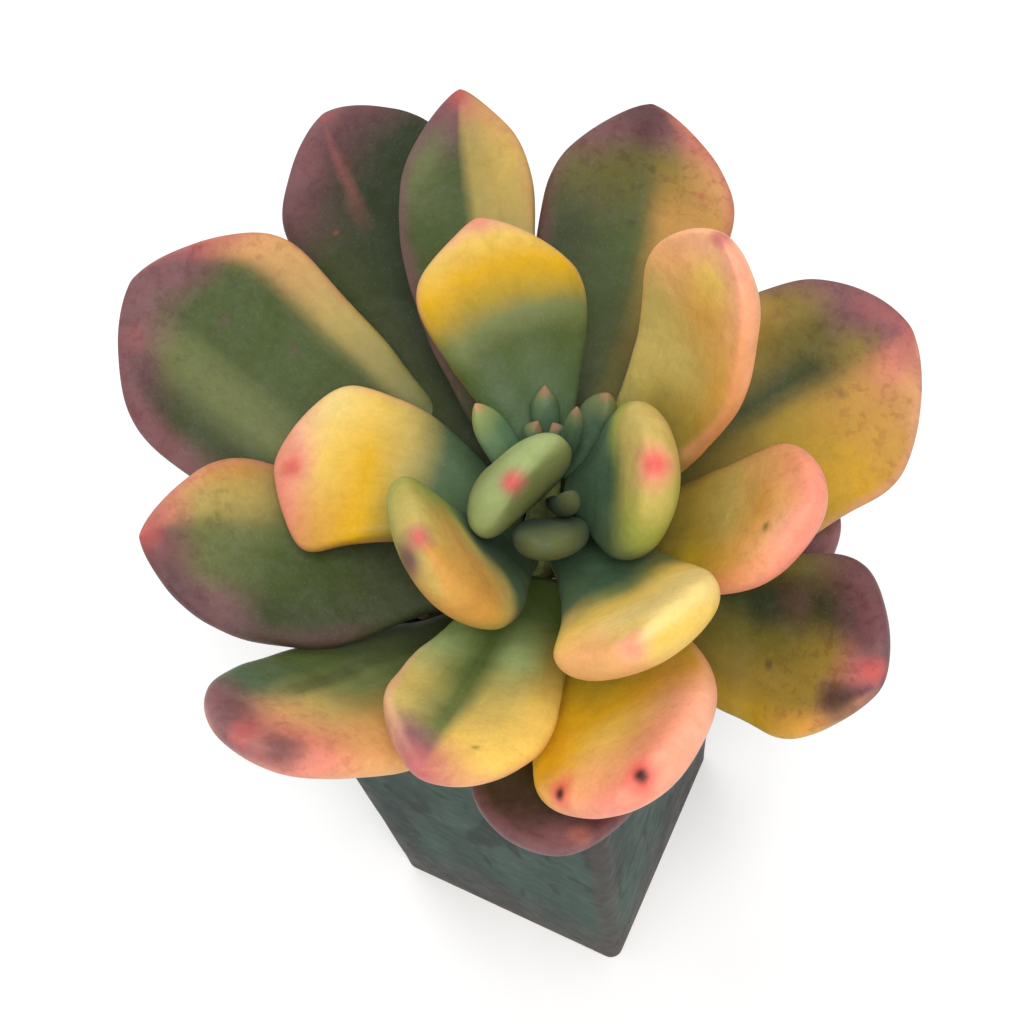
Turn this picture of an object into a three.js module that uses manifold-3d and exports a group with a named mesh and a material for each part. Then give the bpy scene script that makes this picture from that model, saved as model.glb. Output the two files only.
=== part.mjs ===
// Potted succulent: a leaning rosette of plump spoon-shaped leaves on one short
// stem, growing in a gritty medium in a tall, slightly flared square glazed pot.
// Units are millimetres, +Z is up, the pot stands on z = 0 and is centred on the
// Z axis with its four sides square to X and Y. -Y is the front.
import * as THREE from 'three';
import { mergeVertices } from 'three/addons/utils/BufferGeometryUtils.js';
import Module from 'manifold-3d';

// ---------------------------------------------------------------- dimensions
const POT_BASE = 45;        // outside width across the foot
const POT_TOP = 48;         // outside width across the rim
const POT_HEIGHT = 78;
const POT_WALL = 3.2;
const POT_FLOOR = 4.5;
const POT_CORNER_R = 2.2;   // vertical corner radius
const POT_FOOT_EASE = 0.9;  // small rounding around the foot
const RIM_ROUND = 1.1;
const DRAIN_R = 1.9;        // four small drain holes
const DRAIN_OFFSET = 9;
const SOIL_LEVEL = 70;      // mean height of the growing medium
const SOIL_GAP = 0.3;       // clearance between the medium and the pot
const GAP = 0.3;            // clearance between neighbouring plant pieces
const STEM_FOOT = 58;       // the stem is rooted this far down in the medium

// Stem centreline: height, x, y, radius
const STEM = [
  [58, 0.00, 0.00, 3.4],
  [66, 0.00, 0.00, 3.3],
  [74, 0.48, 0.12, 3.2],
  [82, 1.48, 0.56, 3.1],
  [90, 2.60, 1.60, 3.0],
  [97, 3.44, 3.56, 2.8],
  [102, 3.92, 5.20, 2.4],
  [106, 4.16, 6.80, 1.8],
  [108.5, 4.31, 7.80, 1.3],
];

// One row per leaf:
// base x,y,z | tip x,y,z | roll | bow | sway | width | thickness | widest at |
// neck | tip taper | point length | cupping | twist | shoulder squareness |
// fullness of the left and right side mid-leaf | the same near the tip | share of
// the thickness above the margin (mm, degrees)
const LEAVES = {
  leaf_heart_front: [3.64, 6.39, 110.15, 5.5, -2.03, 120.48, 48.4, 2.19, 0.96, 16.01, 7.18, 0.675, 0.642, 0.588, 0.1, -0.084, 15.9, 3.22, 0.016, 0.026, 0.014, 0.038, 0.5],
  leaf_heart_bud: [5.1, 5.87, 105.92, 13.29, -2.56, 123.76, -0.7, -0.63, -0.07, 2.97, 3.34, 0.658, 0.544, 0.634, 0.2, 0.081, -4.8, 2.54, -0.003, -0.008, -0.004, -0.005, 0.5],
  leaf_heart_low: [5.07, 3.32, 101.98, 12.18, -8.02, 119.88, -3.3, 0.88, -0.71, 9.23, 4.68, 0.64, 0.559, 0.587, 0.2, 0.096, 3, 2.1, 0.046, 0.05, -0.002, 0, 0.5],
  leaf_heart_tip_c: [5.61, 9.06, 110.47, 7.38, 11.2, 120.15, -0.3, 0.28, 0.45, 2.53, 3.23, 0.626, 0.572, 0.635, 0.4, 0.114, 9.8, 2.26, 0.002, -0.005, -0.008, -0.01, 0.5],
  leaf_heart_tip_b: [4.15, 10.69, 112.95, 4, 10.97, 115.52, -3.7, 0.67, 0.43, 2.6, 1.55, 0.645, 0.603, 0.616, 0.3, 0.116, 0.1, 2.49, -0.001, 0.007, 0.005, -0, 0.5],
  leaf_heart_tip_a: [3.17, 9.41, 112.39, 2.26, 9.83, 116.31, 3.1, -0.2, -0.77, 2.61, 3.02, 0.649, 0.557, 0.629, 0.4, 0.098, -9.2, 2.44, 0.018, -0.013, 0.045, -0.01, 0.5],
  leaf_heart_back: [3.82, 10.63, 113.18, 1.56, 13.95, 117.98, -5.2, 0.13, -0.35, 3.74, 3.89, 0.607, 0.587, 0.615, 0.6, 0.088, 1.1, 2.16, 0.078, -0.006, -0.001, -0.006, 0.5],
  leaf_heart_left: [1.93, 6.51, 105.5, -4.86, 7.78, 118.97, -9.2, 0.56, -0.21, 4.79, 2.93, 0.665, 0.595, 0.633, 0.5, 0.116, 2, 2.38, 0.016, 0.01, 0.005, -0.018, 0.5],
  leaf_heart_right: [5.84, 9.06, 107.8, 9.21, 16.13, 117.73, -1.6, -0.29, -0.24, 5.53, 4.3, 0.63, 0.633, 0.614, 0.4, 0.118, 0.4, 2.44, -0.019, 0.032, 0.031, -0.011, 0.5],
  leaf_inner_left: [2.68, 0.51, 97.86, -0.59, -14.29, 123.27, -19.9, -1.2, -0.33, 20.8, 8.08, 0.7, 0.241, 0.615, 0.15, 0.075, -19.1, 2.73, 0.058, -0.048, -0.097, 0.064, 0.48],
  leaf_inner_right: [7.63, 7.11, 107.15, 20.76, 4.35, 124.38, 37.5, -1.71, 0.21, 18.96, 7.34, 0.658, 0.283, 0.602, 0.15, 0.111, 4.6, 2.21, 0.089, 0.084, -0.036, -0.079, 0.48],
  leaf_mid_front: [7.13, 3.82, 100.71, 27.28, -17.39, 123.01, 6.1, -2.99, -3.42, 20.2, 7.6, 0.733, 0.338, 0.643, 0.15, 0.119, 19.1, 2.07, -0.133, -0.057, 0.036, 0.099, 0.47],
  leaf_mid_left: [0.37, 3.81, 99.51, -32.43, -2.84, 105.78, -4.6, 3.51, 0.54, 24.08, 6.96, 0.717, 0.333, 0.673, 0.5, 0.099, -24.9, 1.85, -0.158, 0.025, 0.105, 0.042, 0.42],
  leaf_front_left: [3.81, -0.71, 93.59, 8.62, -35.15, 110.47, -4.6, -2.44, -1.32, 20.97, 7.37, 0.673, 0.504, 0.714, 0.8, 0.134, -10.3, 1.87, -0.029, 0.015, -0.011, 0.035, 0.42],
  leaf_front_right: [4.75, -1.03, 87.64, 29.72, -28.97, 107.82, 18.5, -3.9, -4.28, 25.41, 8.66, 0.653, 0.4, 0.678, 0.2, 0.094, 7.8, 2.27, -0.007, 0.024, -0.057, 0.102, 0.45],
  leaf_mid_right: [6.76, 3.4, 96.31, 38.52, 8.7, 121.11, 5.4, -5.51, -2.45, 19.24, 7.48, 0.701, 0.362, 0.707, 0.2, 0.136, -10.1, 2.27, -0.08, -0.013, 0.084, -0.009, 0.44],
  leaf_mid_back: [2.35, 11.31, 110.58, -15.44, 30.74, 125.58, 3.8, 1.74, -0.38, 21.84, 6.79, 0.674, 0.363, 0.69, 0.9, 0.038, -9.5, 1.67, -0.057, 0.044, 0.075, -0.056, 0.4],
  leaf_mid_back_right: [6.67, 6.39, 100.35, 20.06, 25.68, 140, -1.3, -6.56, 0.53, 20.53, 6.64, 0.742, 0.27, 0.572, 0.5, 0.229, 12.1, 2.42, -0.125, -0.015, 0.056, -0.15, 0.42],
  leaf_left_lower: [-0.15, 1.7, 94.06, -40.31, -20.97, 108.94, -8.5, -3.83, 0.8, 26.75, 6.93, 0.719, 0.319, 0.685, 1.4, 0.036, -2.2, 2.3, 0.128, -0.13, -0.049, 0.006, 0.36],
  leaf_right_lower: [4.99, 1.42, 83.28, 51.27, 0.24, 99.35, 31, -3.88, -3.05, 23.54, 7.63, 0.76, 0.388, 0.678, 0.7, 0.11, -27.7, 2.62, -0.194, -0.019, 0.167, 0.023, 0.36],
  leaf_right_upper: [5.24, 4.66, 92.23, 39.46, 43.53, 112.75, 16.3, -2.37, -1.51, 32.71, 7.2, 0.681, 0.348, 0.563, 1.1, 0.04, 8.3, 2.58, -0.062, 0.155, -0.053, 0.114, 0.36],
  leaf_low_left: [0.68, -2.64, 82.62, -12.97, -40.9, 111.76, 8.4, -4.3, 1.44, 26.34, 7.8, 0.685, 0.4, 0.595, 0.9, 0.082, 10.7, 2.62, 0.103, -0.013, -0.095, 0.004, 0.4],
  leaf_low_front: [3.46, -2.22, 81.3, 23.64, -32.7, 93.79, 2, -2.32, -0.46, 22.26, 5.79, 0.671, 0.266, 0.625, 0.6, 0.116, -10.6, 2.43, 0.016, 0.039, 0.025, -0.037, 0.36],
  leaf_right_under: [4.53, 1.86, 81.5, 38.72, 23.91, 95, 8, -2.5, -0.05, 19, 6, 0.709, 0.36, 0.622, 0.6, 0.088, -1.7, 2.46, 0, 0, 0, 0, 0.36],
  leaf_back_centre: [1.44, 8.68, 105.5, -29.61, 52.49, 124.8, -9.1, 1.34, -2.26, 20.11, 7.03, 0.685, 0.397, 0.702, 2, 0.079, -12.7, 2.3, -0.01, -0.116, -0.012, 0.036, 0.36],
  leaf_back_right: [3.29, 8.47, 101.81, -4.14, 62.45, 121.83, 8.3, -1.52, 1.64, 26.73, 7.21, 0.686, 0.332, 0.676, 1.2, 0.058, 20.8, 2.5, -0.056, -0.014, 0.015, 0.114, 0.36],
  leaf_left_upper: [-1.19, 1.5, 87.13, -62.8, 11.57, 115.79, -29.7, -1.53, 0.56, 34.5, 7.28, 0.715, 0.366, 0.641, 0.7, 0.103, 0.9, 2.3, 0.058, -0.04, 0.052, 0.112, 0.36],
  leaf_back_left: [1.07, 5.97, 96.85, -53.26, 50.56, 116.8, -18, -0.31, 0.55, 25.32, 7.64, 0.742, 0.348, 0.677, 0.9, 0.118, -4.9, 2.62, -0.096, -0.043, 0.127, 0.168, 0.36],
};

// Leaf colours as sRGB hex, one per leaf
const LEAF_COLOR = {
  leaf_heart_front: '#7c9654',
  leaf_heart_bud: '#4a6a5c',
  leaf_heart_low: '#4a6a5c',
  leaf_heart_tip_c: '#6a8a5c',
  leaf_heart_tip_b: '#6a8a5c',
  leaf_heart_tip_a: '#6a8a5c',
  leaf_heart_back: '#6a8a5c',
  leaf_heart_left: '#6a8a5c',
  leaf_heart_right: '#5f8460',
  leaf_inner_left: '#b0a058',
  leaf_inner_right: '#a8a464',
  leaf_mid_front: '#ecc080',
  leaf_mid_left: '#dcb070',
  leaf_front_left: '#a89858',
  leaf_front_right: '#e0985c',
  leaf_mid_right: '#dca468',
  leaf_mid_back: '#c8a844',
  leaf_mid_back_right: '#d4a868',
  leaf_left_lower: '#6c6840',
  leaf_right_lower: '#8c7038',
  leaf_right_upper: '#a07c48',
  leaf_low_left: '#9a7a60',
  leaf_low_front: '#6a4440',
  leaf_right_under: '#7a6264',
  leaf_back_centre: '#8c8a4c',
  leaf_back_right: '#8a6a3a',
  leaf_left_upper: '#707045',
  leaf_back_left: '#46503a',
};

// ------------------------------------------------------------------- helpers
const V = (x, y, z) => new THREE.Vector3(x, y, z);
const clamp = (x, a, b) => Math.min(b, Math.max(a, x));

function geometryFrom(points, tris) {
  const g = new THREE.BufferGeometry();
  g.setAttribute('position', new THREE.Float32BufferAttribute(points.flatMap((p) => [p.x, p.y, p.z]), 3));
  g.setIndex(tris.flat());
  return g;
}

// Closed skin through equal-length rings, with a flat fan at each end.
function skin(rings, startPoint, endPoint) {
  const n = rings[0].length;
  const pts = rings.flat();
  const tris = [];
  for (let i = 0; i + 1 < rings.length; i++) {
    for (let j = 0; j < n; j++) {
      const k = (j + 1) % n;
      const a = i * n + j, b = i * n + k, c = (i + 1) * n + k, d = (i + 1) * n + j;
      tris.push([a, b, c], [a, c, d]);
    }
  }
  const s = pts.length; pts.push(startPoint);
  const e = pts.length; pts.push(endPoint);
  const last = (rings.length - 1) * n;
  for (let j = 0; j < n; j++) {
    const k = (j + 1) % n;
    tris.push([s, k, j], [e, last + j, last + k]);
  }
  return geometryFrom(pts, tris);
}

// Rounded square outline at height z, counter-clockwise seen from above.
function squareRing(width, radius, z, seg) {
  const h = width / 2 - radius, ring = [];
  const corners = [[h, h, 0], [-h, h, 90], [-h, -h, 180], [h, -h, 270]];
  for (const [cx, cy, start] of corners) {
    for (let i = 0; i <= seg; i++) {
      const a = THREE.MathUtils.degToRad(start + 90 * i / seg);
      ring.push(V(cx + radius * Math.cos(a), cy + radius * Math.sin(a), z));
    }
  }
  return ring;
}

// ---------------------------------------------------------- booleans (solid)
const wasm = await Module();
wasm.setup();

function toSolid(geometry) {
  const g = geometry.clone();
  g.deleteAttribute('normal');
  g.deleteAttribute('uv');
  const m = mergeVertices(g, 1e-4);
  return new wasm.Manifold(new wasm.Mesh({
    numProp: 3,
    vertProperties: new Float32Array(m.attributes.position.array),
    triVerts: new Uint32Array(m.index.array),
  }));
}

function toGeometry(solid) {
  const mesh = solid.getMesh();
  const g = new THREE.BufferGeometry();
  g.setAttribute('position', new THREE.BufferAttribute(new Float32Array(mesh.vertProperties), 3));
  g.setIndex(new THREE.BufferAttribute(new Uint32Array(mesh.triVerts), 1));
  g.computeVertexNormals();
  return g;
}

// The largest single body of a solid, so that a trim never leaves loose crumbs.
function mainBody(solid) {
  const parts = solid.decompose();
  let best = parts[0];
  for (const p of parts) if (p.volume() > best.volume()) best = p;
  return best;
}

// ----------------------------------------------------------------------- pot
function potWidthAt(z) { return POT_BASE + (POT_TOP - POT_BASE) * z / POT_HEIGHT; }

// Plain envelope of the pot, a little larger all round, to keep leaves clear of it.
function potEnvelope() {
  const w = 2 * GAP;
  return toSolid(skin([
    squareRing(potWidthAt(0) + w, POT_CORNER_R, -GAP, 6),
    squareRing(potWidthAt(POT_HEIGHT) + w, POT_CORNER_R, POT_HEIGHT + GAP, 6),
  ], V(0, 0, -GAP), V(0, 0, POT_HEIGHT + GAP)));
}

function potSolid() {
  const seg = 6, rings = [];
  const e = POT_FOOT_EASE;
  rings.push(squareRing(potWidthAt(0) - 2 * e, Math.max(0.7, POT_CORNER_R - e), 0, seg));
  rings.push(squareRing(potWidthAt(0) - 0.6 * e, POT_CORNER_R - 0.3 * e, 0.3 * e, seg));
  rings.push(squareRing(potWidthAt(e), POT_CORNER_R, e, seg));
  rings.push(squareRing(potWidthAt(POT_HEIGHT - RIM_ROUND), POT_CORNER_R, POT_HEIGHT - RIM_ROUND, seg));
  rings.push(squareRing(potWidthAt(POT_HEIGHT) - 0.6 * RIM_ROUND, POT_CORNER_R - 0.3 * RIM_ROUND, POT_HEIGHT - 0.3 * RIM_ROUND, seg));
  rings.push(squareRing(potWidthAt(POT_HEIGHT) - 2 * RIM_ROUND, Math.max(0.6, POT_CORNER_R - RIM_ROUND), POT_HEIGHT, seg));
  rings.push(squareRing(potWidthAt(POT_HEIGHT) - 2 * POT_WALL + 1.2, 1.2, POT_HEIGHT - 0.2, seg));
  rings.push(squareRing(potWidthAt(POT_HEIGHT - 1.4) - 2 * POT_WALL, 1.6, POT_HEIGHT - 1.4, seg));
  rings.push(squareRing(potWidthAt(POT_FLOOR) - 2 * POT_WALL, 1.6, POT_FLOOR, seg));
  let pot = toSolid(skin(rings, V(0, 0, 0), V(0, 0, POT_FLOOR)));
  for (const [sx, sy] of [[1, 1], [-1, 1], [-1, -1], [1, -1]]) {
    const hole = new THREE.CylinderGeometry(DRAIN_R, DRAIN_R, POT_FLOOR + 4, 20);
    hole.rotateX(Math.PI / 2);
    hole.translate(sx * DRAIN_OFFSET, sy * DRAIN_OFFSET, POT_FLOOR / 2);
    pot = pot.subtract(toSolid(hole));
  }
  return pot;
}

// ---------------------------------------------------------------------- soil
function soilSurface(x, y) {
  return SOIL_LEVEL + 0.5 * Math.sin(x * 0.34 + 0.8) * Math.cos(y * 0.29 - 0.4)
    + 0.35 * Math.sin(x * 0.61 - y * 0.47) + 1.1 * Math.exp(-(x * x + y * y) / 120);
}

function soilSolid() {
  const seg = 3, inset = 2 * (POT_WALL + SOIL_GAP);
  const top = SOIL_LEVEL - 0.6;
  const rings = [];
  rings.push(squareRing(potWidthAt(POT_FLOOR + SOIL_GAP) - inset, 1.3, POT_FLOOR + SOIL_GAP, seg));
  rings.push(squareRing(potWidthAt(top) - inset, 1.3, top, seg));
  // crumbly surface: shrinking rings that follow soilSurface()
  const edge = squareRing(potWidthAt(top) - inset, 1.3, 0, seg);
  for (const k of [0.97, 0.8, 0.6, 0.4, 0.2]) {
    rings.push(edge.map((p) => V(p.x * k, p.y * k, soilSurface(p.x * k, p.y * k))));
  }
  return toSolid(skin(rings, V(0, 0, POT_FLOOR + SOIL_GAP), V(0, 0, soilSurface(0, 0))));
}

// ---------------------------------------------------------------------- stem
function stemSolid(grow) {
  const n = 12, rings = [];
  STEM.forEach(([z, x, y, r], i) => {
    const ring = [];
    for (let j = 0; j < n; j++) {
      const a = 2 * Math.PI * j / n;
      const q = r * (1 + 0.07 * Math.sin(3 * a + i)) + grow;
      ring.push(V(x + q * Math.cos(a), y + q * Math.sin(a), z));
    }
    rings.push(ring);
  });
  const [z0, x0, y0] = STEM[0];
  const [z1, x1, y1, r1] = STEM[STEM.length - 1];
  return toSolid(skin(rings, V(x0, y0, z0 - grow), V(x1, y1, z1 + 0.6 * r1 + grow)));
}

// -------------------------------------------------------------------- leaves
function leafFrame(p, s) {
  const B = V(p[0], p[1], p[2]), T = V(p[3], p[4], p[5]);
  const [roll, bow, sway] = [p[6], p[7], p[8]];
  const mucro = p[14], twist = p[16];
  const D = T.clone().sub(B), L = D.length();
  D.divideScalar(L);
  let N0 = V(0, 0, 1).addScaledVector(D, -D.z);
  if (N0.length() < 0.05) N0 = V(0, 1, 0).addScaledVector(D, -D.y);
  N0.normalize();
  const S0 = D.clone().cross(N0);
  const r = THREE.MathUtils.degToRad(roll);
  const N = N0.clone().multiplyScalar(Math.cos(r)).addScaledVector(S0, Math.sin(r));
  const S = D.clone().cross(N);
  const off = N.clone().multiplyScalar(bow).addScaledVector(S, sway);
  const C = B.clone().addScaledVector(D, L * s).addScaledVector(off, 4 * s * (1 - s));
  const tan = D.clone().multiplyScalar(L).addScaledVector(off, 4 * (1 - 2 * s)).normalize();
  const t = THREE.MathUtils.degToRad(twist) * (s - 0.5);
  const side = S.clone().multiplyScalar(Math.cos(t)).addScaledVector(N, -Math.sin(t));
  side.addScaledVector(tan, -side.dot(tan)).normalize();
  const up = side.clone().cross(tan);
  C.addScaledVector(tan, mucro * Math.pow(clamp((s - 0.88) / 0.12, 0, 1), 3));
  return { C, tan, side, up };
}

function leafProfile(p, s) {
  const [W, H, m, neck, eps, square] = [p[9], p[10], p[11], p[12], p[13], p[17]];
  const v = clamp((s - m) / (1 - m), 0, 1);
  const a = (s < m
    ? neck + (1 - neck) * Math.pow(Math.sin(Math.PI / 2 * clamp(s / m, 0, 1)), 1.25)
    : Math.pow(Math.max(0, 1 - Math.pow(v, square)), eps)) * W / 2;
  const v2 = clamp((s - 0.5) / 0.5, 0, 1);
  let h = (s < 0.5
    ? 0.62 + 0.38 * Math.sin(Math.PI / 2 * clamp(s / 0.5, 0, 1))
    : Math.sqrt(Math.max(0, 1 - Math.pow(v2, 3.4)))) * H;
  h = Math.min(h, 2 * a);
  return { a, h };
}

// How much fuller or slimmer each side of the outline is, mid-leaf and near the tip.
function sideGain(p, s, t) {
  const w1 = Math.exp(-Math.pow((s - 0.45) / 0.2, 2));
  const w2 = Math.exp(-Math.pow((s - 0.82) / 0.12, 2));
  return 1 + (1 - t) / 2 * (p[18] * w1 + p[20] * w2) + (1 + t) / 2 * (p[19] * w1 + p[21] * w2);
}

// Plump leaf: flatter upper face, rounder underside, blunt tip with a small point.
function leafGeometry(p, ns, nt, grow) {
  const rings = [], cup = p[15], share = p[22];
  for (let i = 0; i < ns; i++) {
    const q = i / ns;
    const s = 1 - Math.pow(1 - q, 1.55);      // rings crowd towards the tip
    const { C, side, up } = leafFrame(p, s);
    const { a, h } = leafProfile(p, s);
    const ring = [];
    for (let j = 0; j < nt; j++) {
      const ang = -2 * Math.PI * j / nt;
      const t = Math.sign(Math.cos(ang)) * Math.pow(Math.abs(Math.cos(ang)), 0.8);
      const k = Math.sign(Math.sin(ang)) * Math.pow(Math.abs(Math.sin(ang)), 0.8);
      const thick = (k >= 0 ? share : 1 - share) * h * k;
      const y = thick + cup * a * t * t - (share - 0.34) * h + grow * k;
      const across = (a * sideGain(p, s, t) + grow) * t;
      ring.push(C.clone().addScaledVector(side, across).addScaledVector(up, y));
    }
    rings.push(ring);
  }
  const f0 = leafFrame(p, 0), f1 = leafFrame(p, 1);
  const start = f0.C.clone().addScaledVector(f0.tan, -0.5 - grow);
  const end = f1.C.clone().addScaledVector(f1.tan, grow);
  return skin(rings, start, end);
}

// ------------------------------------------------------------------ assembly
const potMaterial = new THREE.MeshStandardMaterial({ color: '#4f625c', roughness: 0.35, metalness: 0.0 });
const soilMaterial = new THREE.MeshStandardMaterial({ color: '#4a3b30', roughness: 0.95, metalness: 0.0 });
const stemMaterial = new THREE.MeshStandardMaterial({ color: '#7d7a52', roughness: 0.7, metalness: 0.0 });

const group = new THREE.Group();
group.name = 'potted_succulent';

function add(name, solid, material) {
  const mesh = new THREE.Mesh(toGeometry(solid), material);
  mesh.name = name;
  group.add(mesh);
}

const stemWide = stemSolid(GAP);
const potClear = potEnvelope();
const names = Object.keys(LEAVES);
const rows = names.map((name) => {
  const p = LEAVES[name];
  const small = p[9] < 13;
  const ns = small ? 8 : 12, nt = small ? 8 : 12;
  return { name, p, ns, nt };
});

// Leaves listed first are kept whole; each later one gives way to them and to
// the stem, with a thin gap left between neighbours.
const kept = [];
for (const { name, p, ns, nt } of rows) {
  let solid = toSolid(leafGeometry(p, ns, nt, 0)).subtract(stemWide).subtract(potClear);
  for (const other of kept) {
    const hit = solid.intersect(other.wide);
    if (hit.volume() > 1e-6) solid = solid.subtract(other.wide);
  }
  solid = mainBody(solid);
  kept.push({ wide: toSolid(leafGeometry(p, ns, nt, GAP)) });
  add(name, solid, new THREE.MeshStandardMaterial({ color: LEAF_COLOR[name], roughness: 0.45, metalness: 0.0 }));
}

add('pot', potSolid(), potMaterial);
add('soil', mainBody(soilSolid().subtract(stemWide)), soilMaterial);
add('stem', stemSolid(0), stemMaterial);

export default group;
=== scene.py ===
import math

import bmesh
import bpy
import numpy as np
from mathutils import Matrix, Vector, noise


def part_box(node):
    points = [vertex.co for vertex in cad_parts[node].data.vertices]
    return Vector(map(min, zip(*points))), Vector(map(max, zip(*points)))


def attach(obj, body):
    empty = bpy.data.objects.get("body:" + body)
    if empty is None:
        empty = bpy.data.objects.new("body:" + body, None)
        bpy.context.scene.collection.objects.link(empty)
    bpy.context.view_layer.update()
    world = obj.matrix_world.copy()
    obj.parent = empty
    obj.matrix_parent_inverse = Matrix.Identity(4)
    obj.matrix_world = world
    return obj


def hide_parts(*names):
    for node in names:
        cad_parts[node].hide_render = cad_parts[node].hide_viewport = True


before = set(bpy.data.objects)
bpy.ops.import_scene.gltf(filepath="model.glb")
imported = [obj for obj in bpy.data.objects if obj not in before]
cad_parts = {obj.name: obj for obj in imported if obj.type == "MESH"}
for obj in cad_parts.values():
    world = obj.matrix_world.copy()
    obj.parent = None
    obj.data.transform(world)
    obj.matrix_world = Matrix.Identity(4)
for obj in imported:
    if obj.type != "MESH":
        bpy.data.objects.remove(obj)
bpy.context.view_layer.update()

# Potted succulent. Everything is in metres in the row frame; the leaf rows repeat
# the numbers of the CAD part in millimetres and are turned into metres here.
MM = 0.001
POT_LO, POT_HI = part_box("pot")
SOIL_LO, SOIL_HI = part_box("soil")
POT_H = POT_HI[2] - POT_LO[2]
POT_TOP = POT_HI[0] - POT_LO[0]
POT_FOOT = POT_TOP * 45.0 / 48.0
POT_WALL = 3.2 * MM
scene = bpy.context.scene


# ------------------------------------------------------------------ colour help
def lin(hexa):
    h = hexa.lstrip("#")
    out = []
    for i in (0, 2, 4):
        c = int(h[i:i + 2], 16) / 255.0
        out.append(c / 12.92 if c <= 0.04045 else ((c + 0.055) / 1.055) ** 2.4)
    return np.array(out)


def sstep(a, b, x):
    u = np.clip((x - a) / (b - a), 0.0, 1.0)
    return u * u * (3 - 2 * u)


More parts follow.
